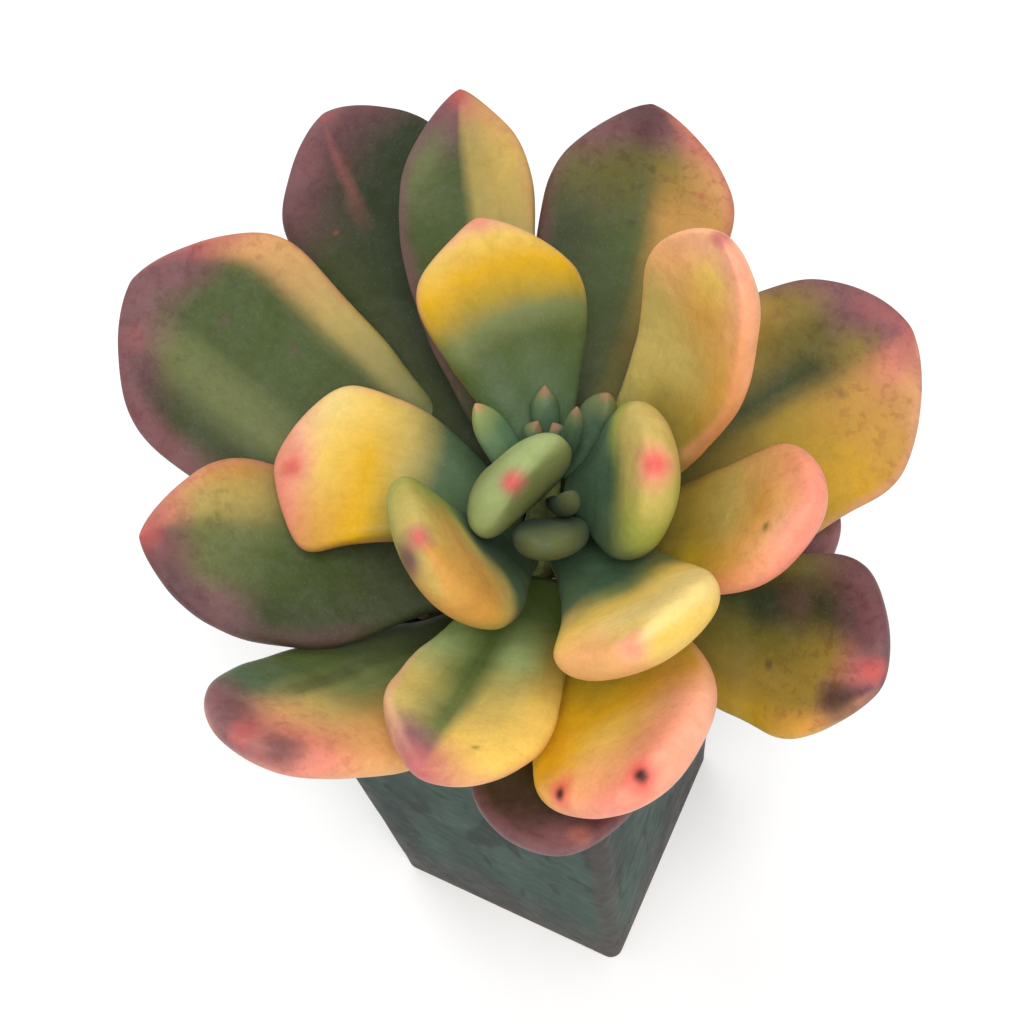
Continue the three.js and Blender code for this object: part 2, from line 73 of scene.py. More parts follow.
# --------------------------------------------------------------- leaf geometry
# base x,y,z | tip x,y,z | roll | bow | sway | width | thickness | widest at | neck |
# tip taper | point length | cupping | twist | shoulder squareness | fullness of the
# left and right side mid-leaf | fullness of the left and right side near the tip |
# share of the thickness above the margin
LEAVES = {
    "leaf_heart_front": (3.64, 6.39, 110.15, 5.5, -2.03, 120.48, 48.4, 2.19, 0.96, 16.01, 7.18, 0.675, 0.642, 0.588, 0.1, -0.084, 15.9, 3.22, 0.016, 0.026, 0.014, 0.038, 0.5),
    "leaf_heart_bud": (5.1, 5.87, 105.92, 13.29, -2.56, 123.76, -0.7, -0.63, -0.07, 2.97, 3.34, 0.658, 0.544, 0.634, 0.2, 0.081, -4.8, 2.54, -0.003, -0.008, -0.004, -0.005, 0.5),
    "leaf_heart_low": (5.07, 3.32, 101.98, 12.18, -8.02, 119.88, -3.3, 0.88, -0.71, 9.23, 4.68, 0.64, 0.559, 0.587, 0.2, 0.096, 3, 2.1, 0.046, 0.05, -0.002, 0, 0.5),
    "leaf_heart_tip_c": (5.61, 9.06, 110.47, 7.38, 11.2, 120.15, -0.3, 0.28, 0.45, 2.53, 3.23, 0.626, 0.572, 0.635, 0.4, 0.114, 9.8, 2.26, 0.002, -0.005, -0.008, -0.01, 0.5),
    "leaf_heart_tip_b": (4.15, 10.69, 112.95, 4, 10.97, 115.52, -3.7, 0.67, 0.43, 2.6, 1.55, 0.645, 0.603, 0.616, 0.3, 0.116, 0.1, 2.49, -0.001, 0.007, 0.005, -0, 0.5),
    "leaf_heart_tip_a": (3.17, 9.41, 112.39, 2.26, 9.83, 116.31, 3.1, -0.2, -0.77, 2.61, 3.02, 0.649, 0.557, 0.629, 0.4, 0.098, -9.2, 2.44, 0.018, -0.013, 0.045, -0.01, 0.5),
    "leaf_heart_back": (3.82, 10.63, 113.18, 1.56, 13.95, 117.98, -5.2, 0.13, -0.35, 3.74, 3.89, 0.607, 0.587, 0.615, 0.6, 0.088, 1.1, 2.16, 0.078, -0.006, -0.001, -0.006, 0.5),
    "leaf_heart_left": (1.93, 6.51, 105.5, -4.86, 7.78, 118.97, -9.2, 0.56, -0.21, 4.79, 2.93, 0.665, 0.595, 0.633, 0.5, 0.116, 2, 2.38, 0.016, 0.01, 0.005, -0.018, 0.5),
    "leaf_heart_right": (5.84, 9.06, 107.8, 9.21, 16.13, 117.73, -1.6, -0.29, -0.24, 5.53, 4.3, 0.63, 0.633, 0.614, 0.4, 0.118, 0.4, 2.44, -0.019, 0.032, 0.031, -0.011, 0.5),
    "leaf_inner_left": (2.68, 0.51, 97.86, -0.59, -14.29, 123.27, -19.9, -1.2, -0.33, 20.8, 8.08, 0.7, 0.241, 0.615, 0.15, 0.075, -19.1, 2.73, 0.058, -0.048, -0.097, 0.064, 0.48),
    "leaf_inner_right": (7.63, 7.11, 107.15, 20.76, 4.35, 124.38, 37.5, -1.71, 0.21, 18.96, 7.34, 0.658, 0.283, 0.602, 0.15, 0.111, 4.6, 2.21, 0.089, 0.084, -0.036, -0.079, 0.48),
    "leaf_mid_front": (7.13, 3.82, 100.71, 27.28, -17.39, 123.01, 6.1, -2.99, -3.42, 20.2, 7.6, 0.733, 0.338, 0.643, 0.15, 0.119, 19.1, 2.07, -0.133, -0.057, 0.036, 0.099, 0.47),
    "leaf_mid_left": (0.37, 3.81, 99.51, -32.43, -2.84, 105.78, -4.6, 3.51, 0.54, 24.08, 6.96, 0.717, 0.333, 0.673, 0.5, 0.099, -24.9, 1.85, -0.158, 0.025, 0.105, 0.042, 0.42),
    "leaf_front_left": (3.81, -0.71, 93.59, 8.62, -35.15, 110.47, -4.6, -2.44, -1.32, 20.97, 7.37, 0.673, 0.504, 0.714, 0.8, 0.134, -10.3, 1.87, -0.029, 0.015, -0.011, 0.035, 0.42),
    "leaf_front_right": (4.75, -1.03, 87.64, 29.72, -28.97, 107.82, 18.5, -3.9, -4.28, 25.41, 8.66, 0.653, 0.4, 0.678, 0.2, 0.094, 7.8, 2.27, -0.007, 0.024, -0.057, 0.102, 0.45),
    "leaf_mid_right": (6.76, 3.4, 96.31, 38.52, 8.7, 121.11, 5.4, -5.51, -2.45, 19.24, 7.48, 0.701, 0.362, 0.707, 0.2, 0.136, -10.1, 2.27, -0.08, -0.013, 0.084, -0.009, 0.44),
    "leaf_mid_back": (2.35, 11.31, 110.58, -15.44, 30.74, 125.58, 3.8, 1.74, -0.38, 21.84, 6.79, 0.674, 0.363, 0.69, 0.9, 0.038, -9.5, 1.67, -0.057, 0.044, 0.075, -0.056, 0.4),
    "leaf_mid_back_right": (6.67, 6.39, 100.35, 20.06, 25.68, 140, -1.3, -6.56, 0.53, 20.53, 6.64, 0.742, 0.27, 0.572, 0.5, 0.229, 12.1, 2.42, -0.125, -0.015, 0.056, -0.15, 0.42),
    "leaf_left_lower": (-0.15, 1.7, 94.06, -40.31, -20.97, 108.94, -8.5, -3.83, 0.8, 26.75, 6.93, 0.719, 0.319, 0.685, 1.4, 0.036, -2.2, 2.3, 0.128, -0.13, -0.049, 0.006, 0.36),
    "leaf_right_lower": (4.99, 1.42, 83.28, 51.27, 0.24, 99.35, 31, -3.88, -3.05, 23.54, 7.63, 0.76, 0.388, 0.678, 0.7, 0.11, -27.7, 2.62, -0.194, -0.019, 0.167, 0.023, 0.36),
    "leaf_right_upper": (5.24, 4.66, 92.23, 39.46, 43.53, 112.75, 16.3, -2.37, -1.51, 32.71, 7.2, 0.681, 0.348, 0.563, 1.1, 0.04, 8.3, 2.58, -0.062, 0.155, -0.053, 0.114, 0.36),
    "leaf_low_left": (0.68, -2.64, 82.62, -12.97, -40.9, 111.76, 8.4, -4.3, 1.44, 26.34, 7.8, 0.685, 0.4, 0.595, 0.9, 0.082, 10.7, 2.62, 0.103, -0.013, -0.095, 0.004, 0.4),
    "leaf_low_front": (3.46, -2.22, 81.3, 23.64, -32.7, 93.79, 2, -2.32, -0.46, 22.26, 5.79, 0.671, 0.266, 0.625, 0.6, 0.116, -10.6, 2.43, 0.016, 0.039, 0.025, -0.037, 0.36),
    "leaf_right_under": (4.53, 1.86, 81.5, 38.72, 23.91, 95, 8, -2.5, -0.05, 19, 6, 0.709, 0.36, 0.622, 0.6, 0.088, -1.7, 2.46, 0, 0, 0, 0, 0.36),
    "leaf_back_centre": (1.44, 8.68, 105.5, -29.61, 52.49, 124.8, -9.1, 1.34, -2.26, 20.11, 7.03, 0.685, 0.397, 0.702, 2, 0.079, -12.7, 2.3, -0.01, -0.116, -0.012, 0.036, 0.36),
    "leaf_back_right": (3.29, 8.47, 101.81, -4.14, 62.45, 121.83, 8.3, -1.52, 1.64, 26.73, 7.21, 0.686, 0.332, 0.676, 1.2, 0.058, 20.8, 2.5, -0.056, -0.014, 0.015, 0.114, 0.36),
    "leaf_left_upper": (-1.19, 1.5, 87.13, -62.8, 11.57, 115.79, -29.7, -1.53, 0.56, 34.5, 7.28, 0.715, 0.366, 0.641, 0.7, 0.103, 0.9, 2.3, 0.058, -0.04, 0.052, 0.112, 0.36),
    "leaf_back_left": (1.07, 5.97, 96.85, -53.26, 50.56, 116.8, -18, -0.31, 0.55, 25.32, 7.64, 0.742, 0.348, 0.677, 0.9, 0.118, -4.9, 2.62, -0.096, -0.043, 0.127, 0.168, 0.36),
}


def unit(v):
    return v / np.maximum(np.linalg.norm(v, axis=-1, keepdims=True), 1e-9)


def leaf_frame(p, s):
    B, T = np.array(p[0:3], float), np.array(p[3:6], float)
    roll, bow, sway = p[6:9]
    mucro, twist = p[14], p[16]
    D = T - B
    L = np.linalg.norm(D)
    D = D / L
    N0 = np.array([0, 0, 1.0]) - D[2] * D
    if np.linalg.norm(N0) < 0.05:
        N0 = np.array([0, 1.0, 0]) - D[1] * D
    N0 = N0 / np.linalg.norm(N0)
    S0 = np.cross(D, N0)
    r = math.radians(roll)
    N = math.cos(r) * N0 + math.sin(r) * S0
    S = np.cross(D, N)
    s = s[:, None]
    off = bow * N + sway * S
    C = B + D * L * s + off * 4 * s * (1 - s)
    tan = unit(D * L + off * 4 * (1 - 2 * s))
    t = math.radians(twist) * (s - 0.5)
    side = np.cos(t) * S - np.sin(t) * N
    side = unit(side - (side * tan).sum(-1, keepdims=True) * tan)
    up = np.cross(side, tan)
    C = C + tan * mucro * np.clip((s - 0.88) / 0.12, 0, 1) ** 3
    return C, tan, side, up


def leaf_profile(p, s):
    W, H, m, neck, eps = p[9:14]
    sq = p[17]
    v = np.clip((s - m) / (1 - m), 0, 1)
    a = np.where(
        s < m,
        neck + (1 - neck) * np.sin(np.pi / 2 * np.clip(s / m, 0, 1)) ** 1.25,
        np.clip(1 - v ** sq, 0, 1) ** eps,
    ) * W / 2
    v2 = np.clip((s - 0.5) / 0.5, 0, 1)
    h = np.where(
        s < 0.5,
        0.62 + 0.38 * np.sin(np.pi / 2 * np.clip(s / 0.5, 0, 1)),
        np.clip(1 - v2 ** 3.4, 0, 1) ** 0.5,
    ) * H
    return a, np.minimum(h, 2 * a)


def side_gain(p, s, t):
    """How much fuller or slimmer each side of the outline is, mid-leaf and near the tip."""
    w1 = np.exp(-((s - 0.45) / 0.2) ** 2)[:, None]
    w2 = np.exp(-((s - 0.82) / 0.12) ** 2)[:, None]
    lt, rt = (1 - t)[None] / 2, (1 + t)[None] / 2
    return 1 + lt * (p[18] * w1 + p[20] * w2) + rt * (p[19] * w1 + p[21] * w2)


def wave(x, y, z, f, seed):
    """Smooth deterministic noise, about -1 to 1, from a few crossed sine waves."""
    a = np.sin(x * f * 1.00 + 1.7 * np.sin(y * f * 0.83 + seed) + seed * 2.1)
    b = np.sin(y * f * 1.13 + 1.3 * np.sin(z * f * 0.91 + seed * 1.3) + seed * 0.7)
    c = np.sin(z * f * 0.94 + 1.5 * np.sin(x * f * 1.07 + seed * 0.9) + seed * 1.9)
    return (a + b + c) / 3.0


def leaf_mesh(name, p, seed, fine):
    ns, nt = (92, 80) if fine else (52, 48)
    q = np.linspace(0, 1, ns + 1)[:-1]
    s = 1 - (1 - q) ** 1.7
    phi = -2 * np.pi * np.arange(nt) / nt
    C, tan, side, up = leaf_frame(p, s)
    a, h = leaf_profile(p, s)
    t = np.sign(np.cos(phi)) * np.abs(np.cos(phi)) ** 0.8
    k = np.sign(np.sin(phi)) * np.abs(np.sin(phi)) ** 0.8
    L = float(np.linalg.norm(np.array(p[3:6]) - np.array(p[0:3])))
    S, Tt = s[:, None] * np.ones(nt)[None], np.ones(len(s))[:, None] * t[None]
    K = np.ones(len(s))[:, None] * k[None]
    A, Hh = a[:, None] * side_gain(p, s, t), h[:, None]
    share = p[22]
    thick = np.where(K >= 0, share, 1 - share) * Hh * K
    y = thick + p[15] * a[:, None] * Tt ** 2 - (share - 0.34) * Hh
    env = sstep(0.02, 0.15, S) * (1 - sstep(0.93, 1.0, S))
    # a shallow channel down the upper face and a soft keel under the leaf
    size = min(1.0, p[9] / 20.0)
    y = y - 0.25 * size * env * np.exp(-(Tt / 0.22) ** 2) * sstep(0.3, 0.9, K) * (1 - sstep(0.72, 0.9, S))
    y = y - 0.22 * size * env * np.exp(-(Tt / 0.34) ** 2) * sstep(0.3, 0.9, -K)
    pts = C[:, None] + (A * Tt)[..., None] * side[:, None] + y[..., None] * up[:, None]
    # gentle unevenness of a living leaf, along the outward direction
    nrm = unit((Tt / np.maximum(A, 0.5))[..., None] * side[:, None] + (K / np.maximum(Hh * 0.5, 0.5))[..., None] * up[:, None])
    bump = 0.22 * size * wave(pts[..., 0], pts[..., 1], pts[..., 2], 0.42, seed) + 0.07 * size * wave(pts[..., 0], pts[..., 1], pts[..., 2], 1.25, seed + 3)
    pts = pts + nrm * (bump * env)[..., None]
    # rub the crest and the shoulders round
    for _ in range(10):
        ring = (np.roll(pts, 1, 1) + np.roll(pts, -1, 1)) / 2
        w = (0.5 * sstep(0.45, 0.7, s))[:, None, None]
        pts = pts * (1 - w) + ring * w
        along = pts.copy()
        along[1:-1] = (pts[:-2] + pts[2:]) / 2
        pts = pts * (1 - 0.6 * w) + along * 0.6 * w
    c0, t0, _, _ = leaf_frame(p, np.array([0.0]))
    c1, t1, _, _ = leaf_frame(p, np.array([1.0]))
    verts = pts.reshape(-1, 3)
    verts = np.vstack([verts, c0[0] - t0[0] * 0.5, c1[0]])
    n0, n1 = len(verts) - 2, len(verts) - 1
    faces = []
    for i in range(len(s) - 1):
        for j in range(nt):
            j2 = (j + 1) % nt
            faces.append((i * nt + j, i * nt + j2, (i + 1) * nt + j2, (i + 1) * nt + j))
    last = (len(s) - 1) * nt
    for j in range(nt):
        j2 = (j + 1) % nt
        faces.append((n0, j2, j))
        faces.append((n1, last + j, last + j2))
    me = bpy.data.meshes.new(name + "_skin")
    me.from_pydata((verts * MM).tolist(), [], faces)
    me.update()
    me.polygons.foreach_set("use_smooth", [True] * len(me.polygons))
    sv = np.concatenate([S.ravel(), [0.0, 1.0]])
    tv = np.concatenate([Tt.ravel(), [0.0, 0.0]])
    kv = np.concatenate([K.ravel(), [0.0, 0.0]])
    av = np.concatenate([(A + 0.0 * Tt).ravel(), [a[0], 0.0]])
    return me, verts, sv, tv, kv, av, L


# ----------------------------------------------------------------- leaf colours
# One short list of tissue colours serves the whole plant. The darkest green is a deep shadow green, used only as
# painted shade; pine and moss, the darker greens of the back and outer leaves, are partly their own dark tissue and
# partly painted shade.
HUES = {
    "shadow_green": "#202c1c", "pine": "#303a1c", "moss": "#404a20", "leaf": "#506028",
    "jade": "#486448", "sage": "#587050", "fern": "#788048", "lime": "#a0a848",
    "celery": "#a0b070", "olive": "#706828", "bronze": "#988030", "mustard": "#b89820",
    "gold": "#e4b010", "straw": "#c8b060", "honey": "#d8a048", "butter": "#f0c860",
    "cream": "#f4d888", "apricot": "#f0b070", "peach": "#f4b090", "salmon": "#ec9078",
    "coral": "#e06058", "rose": "#c06868", "mauve": "#8c5c60", "wine": "#6c4448",
    "bark": "#503828", "scab": "#301810",
}

# Each leaf: a shade, one brightness factor over the whole leaf that is painted shade
# and light for where it sits in the rosette (darkest on the back, outer and low leaves),
# and lanes across the blade (-1 left edge, 1 right edge, seen from the neck with the
# upper face towards the eye), each lane running from neck 0 to tip 1. "under" is the
# same for the underside. Marks are laid over them.
PAINT = {
    "leaf_back_left": {
        "shade": 0.65,
        "lanes": [(-0.7, [(0.3, "moss"), (0.68, "moss"), (0.82, "wine"), (0.92, "mauve"), (1, "mauve")]),
                  (-0.1, [(0.3, "pine"), (0.8, "pine"), (0.92, "wine"), (1, "mauve")]),
                  (0.6, [(0.3, "pine"), (0.84, "pine"), (0.94, "wine"), (1, "mauve")])],
        "marks": [("stripe", "rose", 0.4, -0.12, 0.09, 0.76, 0.97), ("tip", "rose", 0.5, 3.5), ("spot", "wine", 0.6, 0.86, 0.25, 1.0)],
        "skin": (0.03, 0.05, 0.50),
    },
    "leaf_back_centre": {
        "shade": 0.55,
        "lanes": [(-0.6, [(0.2, "moss"), (0.65, "leaf"), (0.85, "fern"), (0.95, "mauve"), (1, "rose")]),
                  (0.02, [(0.2, "leaf"), (0.8, "leaf"), (0.93, "mauve"), (1, "rose")]),
                  (0.18, [(0.2, "fern"), (0.6, "straw"), (0.88, "straw"), (0.96, "salmon"), (1, "rose")]),
                  (0.8, [(0.2, "fern"), (0.6, "straw"), (0.8, "butter"), (0.94, "apricot"), (1, "rose")])],
        "marks": [("margin", "mauve", 0.7, 3.0, -1, 0.25, 1.0), ("margin", "apricot", 0.5, 2.0, 1, 0.6, 1.0), ("tip", "coral", 0.7, 3.4)],
        "skin": (0.05, 0.03, 0.50),
    },
    "leaf_back_right": {
        "shade": 0.6,
        "lanes": [(-0.7, [(0.2, "moss"), (0.66, "moss"), (0.82, "olive"), (0.93, "mauve"), (1, "wine")]),
                  (0.02, [(0.2, "moss"), (0.66, "leaf"), (0.86, "olive"), (0.94, "wine"), (1, "wine")]),
                  (0.36, [(0.3, "olive"), (0.55, "bronze"), (0.72, "honey"), (0.86, "bronze"), (0.94, "mauve"), (1, "wine")]),
                  (0.85, [(0.3, "olive"), (0.55, "bronze"), (0.7, "honey"), (0.84, "apricot"), (0.93, "salmon"), (1, "wine")])],
        "marks": [("margin", "mauve", 0.6, 3.0, -1, 0.5, 1.0), ("margin", "salmon", 0.75, 2.8, 1, 0.55, 0.95), ("tip", "wine", 0.7, 6),
                  ("spot", "scab", 0.7, 0.70, 0.02, 0.8), ("spot", "wine", 0.7, 0.60, -0.35, 0.7), ("spot", "coral", 0.5, 0.80, 0.62, 0.9)],
        "skin": (0.04, 0.08, 0.50),
    },
    "leaf_left_upper": {
        "shade": 0.65,
        "lanes": [(-0.92, [(0.4, "moss"), (0.72, "mauve"), (0.88, "mauve"), (1, "mauve")]),
                  (-0.66, [(0.3, "moss"), (0.76, "moss"), (0.88, "wine"), (1, "mauve")]),
                  (-0.28, [(0.3, "leaf"), (0.55, "fern"), (0.84, "fern"), (0.94, "mauve"), (1, "mauve")]),
                  (0.02, [(0.2, "moss"), (0.6, "leaf"), (0.87, "leaf"), (0.95, "mauve"), (1, "mauve")]),
                  (0.58, [(0.2, "moss"), (0.6, "leaf"), (0.84, "leaf"), (0.93, "mauve"), (1, "mauve")]),
                  (0.8, [(0.35, "fern"), (0.6, "straw"), (0.84, "apricot"), (0.93, "rose"), (1, "mauve")])],
        "marks": [("margin", "mauve", 0.7, 3.4, -1, 0.62, 1.0), ("margin", "salmon", 0.5, 1.8, 1, 0.6, 0.92), ("spot", "rose", 0.4, 0.93, -0.55, 3.0),
                  ("spot", "wine", 0.8, 0.80, 0.22, 0.9), ("spot", "wine", 0.8, 0.65, 0.37, 0.7)],
        "skin": (0.05, 0.06, 0.52),
    },
    "leaf_right_upper": {
        "shade": 0.65,
        "lanes": [(-0.8, [(0.3, "bronze"), (0.65, "honey"), (0.82, "bronze"), (0.92, "mauve"), (1, "rose")]),
                  (-0.42, [(0.3, "olive"), (0.6, "bronze"), (0.84, "olive"), (0.93, "mauve"), (1, "rose")]),
                  (-0.1, [(0.3, "moss"), (0.78, "moss"), (0.9, "bronze"), (0.96, "mauve"), (1, "rose")]),
                  (0.25, [(0.3, "olive"), (0.5, "bronze"), (0.66, "mustard"), (0.86, "honey"), (0.95, "salmon"), (1, "rose")]),
                  (0.85, [(0.3, "bronze"), (0.55, "mustard"), (0.74, "gold"), (0.88, "honey"), (0.95, "apricot"), (1, "rose")])],
        "marks": [("margin", "mauve", 0.6, 3.0, -1, 0.74, 1.0), ("margin", "peach", 0.6, 2.0, 1, 0.4, 0.97), ("tip", "rose", 0.5, 4),
                  ("spot", "bark", 0.8, 0.81, 0.18, 0.7), ("spot", "bark", 0.6, 0.66, 0.62, 0.6)],
        "skin": (0.04, 0.06, 0.50),
    },
    "leaf_left_lower": {
        "shade": 0.65,
        "lanes": [(-0.8, [(0.3, "moss"), (0.68, "moss"), (0.82, "mauve"), (0.94, "wine"), (1, "rose")]),
                  (-0.3, [(0.3, "moss"), (0.68, "leaf"), (0.86, "fern"), (0.95, "mauve"), (1, "rose")]),
                  (0.1, [(0.3, "moss"), (0.6, "leaf"), (0.78, "fern"), (0.88, "fern"), (0.96, "mauve"), (1, "rose")]),
                  (0.5, [(0.3, "moss"), (0.6, "leaf"), (0.74, "straw"), (0.88, "straw"), (0.95, "salmon"), (1, "rose")]),
                  (0.9, [(0.3, "leaf"), (0.6, "fern"), (0.78, "honey"), (0.9, "apricot"), (1, "rose")])],
        "marks": [("margin", "wine", 0.6, 3.2, -1, 0.4, 1.0), ("margin", "salmon", 0.5, 2.0, 1, 0.55, 0.95), ("spot", "bark", 0.7, 0.83, 0.26, 0.7), ("tip", "coral", 0.5, 3.0)],
        "skin": (0.05, 0.05, 0.50),
    },
    "leaf_low_left": {
        "shade": 0.9,
        "lanes": [(-0.7, [(0.3, "fern"), (0.55, "honey"), (0.78, "apricot"), (0.9, "salmon"), (1, "mauve")]),
                  (0.0, [(0.3, "leaf"), (0.58, "fern"), (0.74, "straw"), (0.86, "apricot"), (0.95, "rose"), (1, "mauve")]),
                  (0.6, [(0.3, "moss"), (0.64, "leaf"), (0.82, "sage"), (0.93, "mauve"), (1, "mauve")])],
        "under": [(0.0, [(0.4, "honey"), (0.75, "apricot"), (0.92, "salmon"), (1, "mauve")])],
        "marks": [("stripe", "moss", 0.6, 0.28, 0.14, 0.2, 0.76), ("spot", "wine", 0.7, 0.96, -0.9, 3.8), ("spot", "wine", 0.5, 0.93, 0.35, 3.2), ("spot", "coral", 0.4, 0.985, -0.2, 2.6)],
        "skin": (0.05, 0.05, 0.50),
    },
    "leaf_low_front": {
        "shade": 0.7,
        "lanes": [(-0.6, [(0.3, "olive"), (0.84, "bark"), (0.94, "wine"), (1, "mauve")]),
                  (0.1, [(0.3, "olive"), (0.86, "bark"), (0.95, "mauve"), (1, "mauve")]),
                  (0.7, [(0.3, "olive"), (0.8, "bark"), (0.92, "wine"), (1, "mauve")])],
        "marks": [("margin", "mauve", 0.6, 2.0, 0, 0.5, 1.0), ("spot", "salmon", 0.4, 0.96, -0.44, 2.2)],
        "skin": (0.04, 0.05, 0.48),
    },
    "leaf_right_lower": {
        "shade": 0.85,
        "lanes": [(-0.9, [(0.4, "olive"), (0.7, "olive"), (0.84, "wine"), (1, "mauve")]),
                  (-0.5, [(0.4, "moss"), (0.6, "moss"), (0.8, "pine"), (0.92, "wine"), (1, "mauve")]),
                  (0.0, [(0.4, "olive"), (0.74, "olive"), (0.88, "bronze"), (0.96, "rose"), (1, "mauve")]),
                  (0.5, [(0.4, "olive"), (0.74, "bronze"), (0.88, "bronze"), (0.95, "wine"), (1, "mauve")]),
                  (0.9, [(0.4, "bronze"), (0.75, "mustard"), (0.9, "honey"), (1, "mauve")])],
        # the deep shadow-green patch on the upper half of this leaf is painted shade
        "marks": [("spot", "bark", 0.9, 0.73, -0.43, 5.2), ("spot", "shadow_green", 0.7, 0.65, -0.32, 5.0), ("margin", "wine", 0.6, 2.4, -1, 0.74, 1.0),
                  ("spot", "bark", 0.85, 0.94, 0.52, 3.4), ("spot", "coral", 0.7, 0.98, -0.30, 2.4), ("spot", "bark", 0.8, 0.72, 0.30, 0.8)],
        "skin": (0.04, 0.07, 0.48),
    },
    "leaf_right_under": {
        "shade": 0.8,
        "lanes": [(0.0, [(0.3, "olive"), (0.7, "bark"), (1, "mauve")])],
        "marks": [("margin", "mauve", 0.6, 2.0, 0, 0.5, 1.0)],
        "skin": (0.05, 0.04, 0.50),
    },
    "leaf_front_right": {
        "shade": 1.0,
        "lanes": [(-0.85, [(0.3, "bronze"), (0.5, "mustard"), (0.64, "honey"), (0.76, "peach"), (1, "salmon")]),
                  (0.0, [(0.3, "mustard"), (0.5, "mustard"), (0.64, "gold"), (0.76, "butter"), (0.88, "apricot"), (1, "salmon")]),
                  (0.85, [(0.3, "mustard"), (0.56, "gold"), (0.76, "gold"), (0.9, "apricot"), (1, "salmon")])],
        "under": [(0.0, [(0.4, "honey"), (0.78, "peach"), (1, "salmon")])],
        "marks": [("margin", "peach", 0.4, 1.6, -1, 0.45, 0.95), ("spot", "coral", 0.9, 0.89, 0.88, 3.2), ("spot", "scab", 1.0, 0.89, 0.88, 1.3),
                  ("spot", "coral", 0.9, 0.97, -0.93, 3.4), ("spot", "scab", 1.0, 0.97, -0.93, 1.4), ("spot", "bark", 0.6, 0.66, 0.25, 0.5)],
        "skin": (0.02, 0.02, 0.44),
    },
    "leaf_front_left": {
        "shade": 0.95,
        "lanes": [(-0.8, [(0.2, "leaf"), (0.4, "bronze"), (0.6, "butter"), (0.88, "butter"), (1, "rose")]),
                  (-0.25, [(0.2, "leaf"), (0.42, "celery"), (0.62, "straw"), (0.85, "butter"), (1, "rose")]),
                  (0.18, [(0.2, "leaf"), (0.5, "leaf"), (0.72, "fern"), (0.86, "fern"), (0.95, "mauve"), (1, "rose")]),
                  (0.8, [(0.2, "leaf"), (0.45, "celery"), (0.66, "straw"), (0.82, "straw"), (0.93, "mauve"), (1, "rose")])],
        "under": [(-0.6, [(0.4, "straw"), (0.9, "apricot"), (1, "rose")]), (0.6, [(0.4, "straw"), (0.85, "mauve"), (1, "rose")])],
        "marks": [("stripe", "leaf", 0.5, 0.20, 0.12, 0.2, 0.84), ("margin", "peach", 0.5, 1.8, 1, 0.5, 0.9), ("spot", "bark", 0.6, 0.87, -0.52, 0.6), ("tip", "rose", 0.5, 3.4)],
        "skin": (0.04, 0.03, 0.46),
    },
    "leaf_mid_back": {
        "shade": 0.75,
        "lanes": [(-0.85, [(0.1, "sage"), (0.36, "leaf"), (0.48, "fern"), (0.58, "mustard"), (0.7, "gold"), (0.84, "butter"), (1, "peach")]),
                  (-0.4, [(0.1, "sage"), (0.42, "leaf"), (0.53, "fern"), (0.63, "mustard"), (0.76, "gold"), (0.9, "butter"), (1, "peach")]),
                  (0.45, [(0.1, "sage"), (0.44, "leaf"), (0.55, "fern"), (0.64, "mustard"), (0.77, "gold"), (0.9, "butter"), (1, "peach")]),
                  (0.9, [(0.1, "sage"), (0.4, "leaf"), (0.52, "fern"), (0.6, "mustard"), (0.72, "gold"), (0.86, "butter"), (1, "peach")])],
        "under": [(0.0, [(0.4, "mustard"), (0.85, "apricot"), (1, "peach")])],
        "marks": [("margin", "apricot", 0.4, 1.5, 0, 0.6, 0.96), ("spot", "salmon", 0.7, 0.98, 0.05, 2.4)],
        "skin": (0.02, 0.02, 0.46),
    },
    "leaf_mid_back_right": {
        "shade": 0.95,
        "lanes": [(-0.7, [(0.2, "fern"), (0.5, "straw"), (0.72, "straw"), (0.88, "apricot"), (1, "peach")]),
                  (0.1, [(0.2, "fern"), (0.45, "bronze"), (0.62, "straw"), (0.8, "honey"), (0.93, "butter"), (1, "peach")]),
                  (0.85, [(0.2, "fern"), (0.5, "bronze"), (0.7, "honey"), (0.86, "apricot"), (1, "peach")])],
        "under": [(0.0, [(0.4, "honey"), (0.85, "apricot"), (1, "peach")])],
        "marks": [("margin", "salmon", 0.4, 1.6, 1, 0.4, 1.0), ("margin", "apricot", 0.4, 1.6, -1, 0.5, 1.0), ("spot", "rose", 0.8, 1.0, 0.0, 2.0)],
        "skin": (0.02, 0.02, 0.46),
    },
    "leaf_mid_left": {
        "shade": 0.8,
        "lanes": [(-0.8, [(0.2, "jade"), (0.4, "fern"), (0.58, "gold"), (0.75, "honey"), (0.9, "salmon"), (1, "salmon")]),
                  (0.0, [(0.2, "sage"), (0.34, "sage"), (0.48, "straw"), (0.62, "gold"), (0.78, "butter"), (0.9, "peach"), (1, "salmon")]),
                  (0.8, [(0.2, "sage"), (0.36, "sage"), (0.5, "straw"), (0.66, "butter"), (0.82, "cream"), (0.93, "peach"), (1, "salmon")])],
        "under": [(0.0, [(0.4, "honey"), (0.9, "salmon"), (1, "salmon")])],
        "marks": [("margin", "peach", 0.4, 1.4, 1, 0.5, 1.0), ("spot", "salmon", 0.7, 0.91, -0.12, 4.6), ("spot", "coral", 0.8, 0.91, -0.12, 2.4)],
        "skin": (0.015, 0.02, 0.44),
    },
    "leaf_mid_right": {
        "shade": 1.0,
        "lanes": [(-0.7, [(0.3, "olive"), (0.5, "bronze"), (0.66, "straw"), (0.82, "apricot"), (1, "salmon")]),
                  (0.0, [(0.3, "olive"), (0.52, "bronze"), (0.66, "straw"), (0.8, "honey"), (0.92, "apricot"), (1, "salmon")]),
                  (0.7, [(0.3, "olive"), (0.52, "mustard"), (0.7, "honey"), (0.84, "apricot"), (0.93, "peach"), (1, "salmon")])],
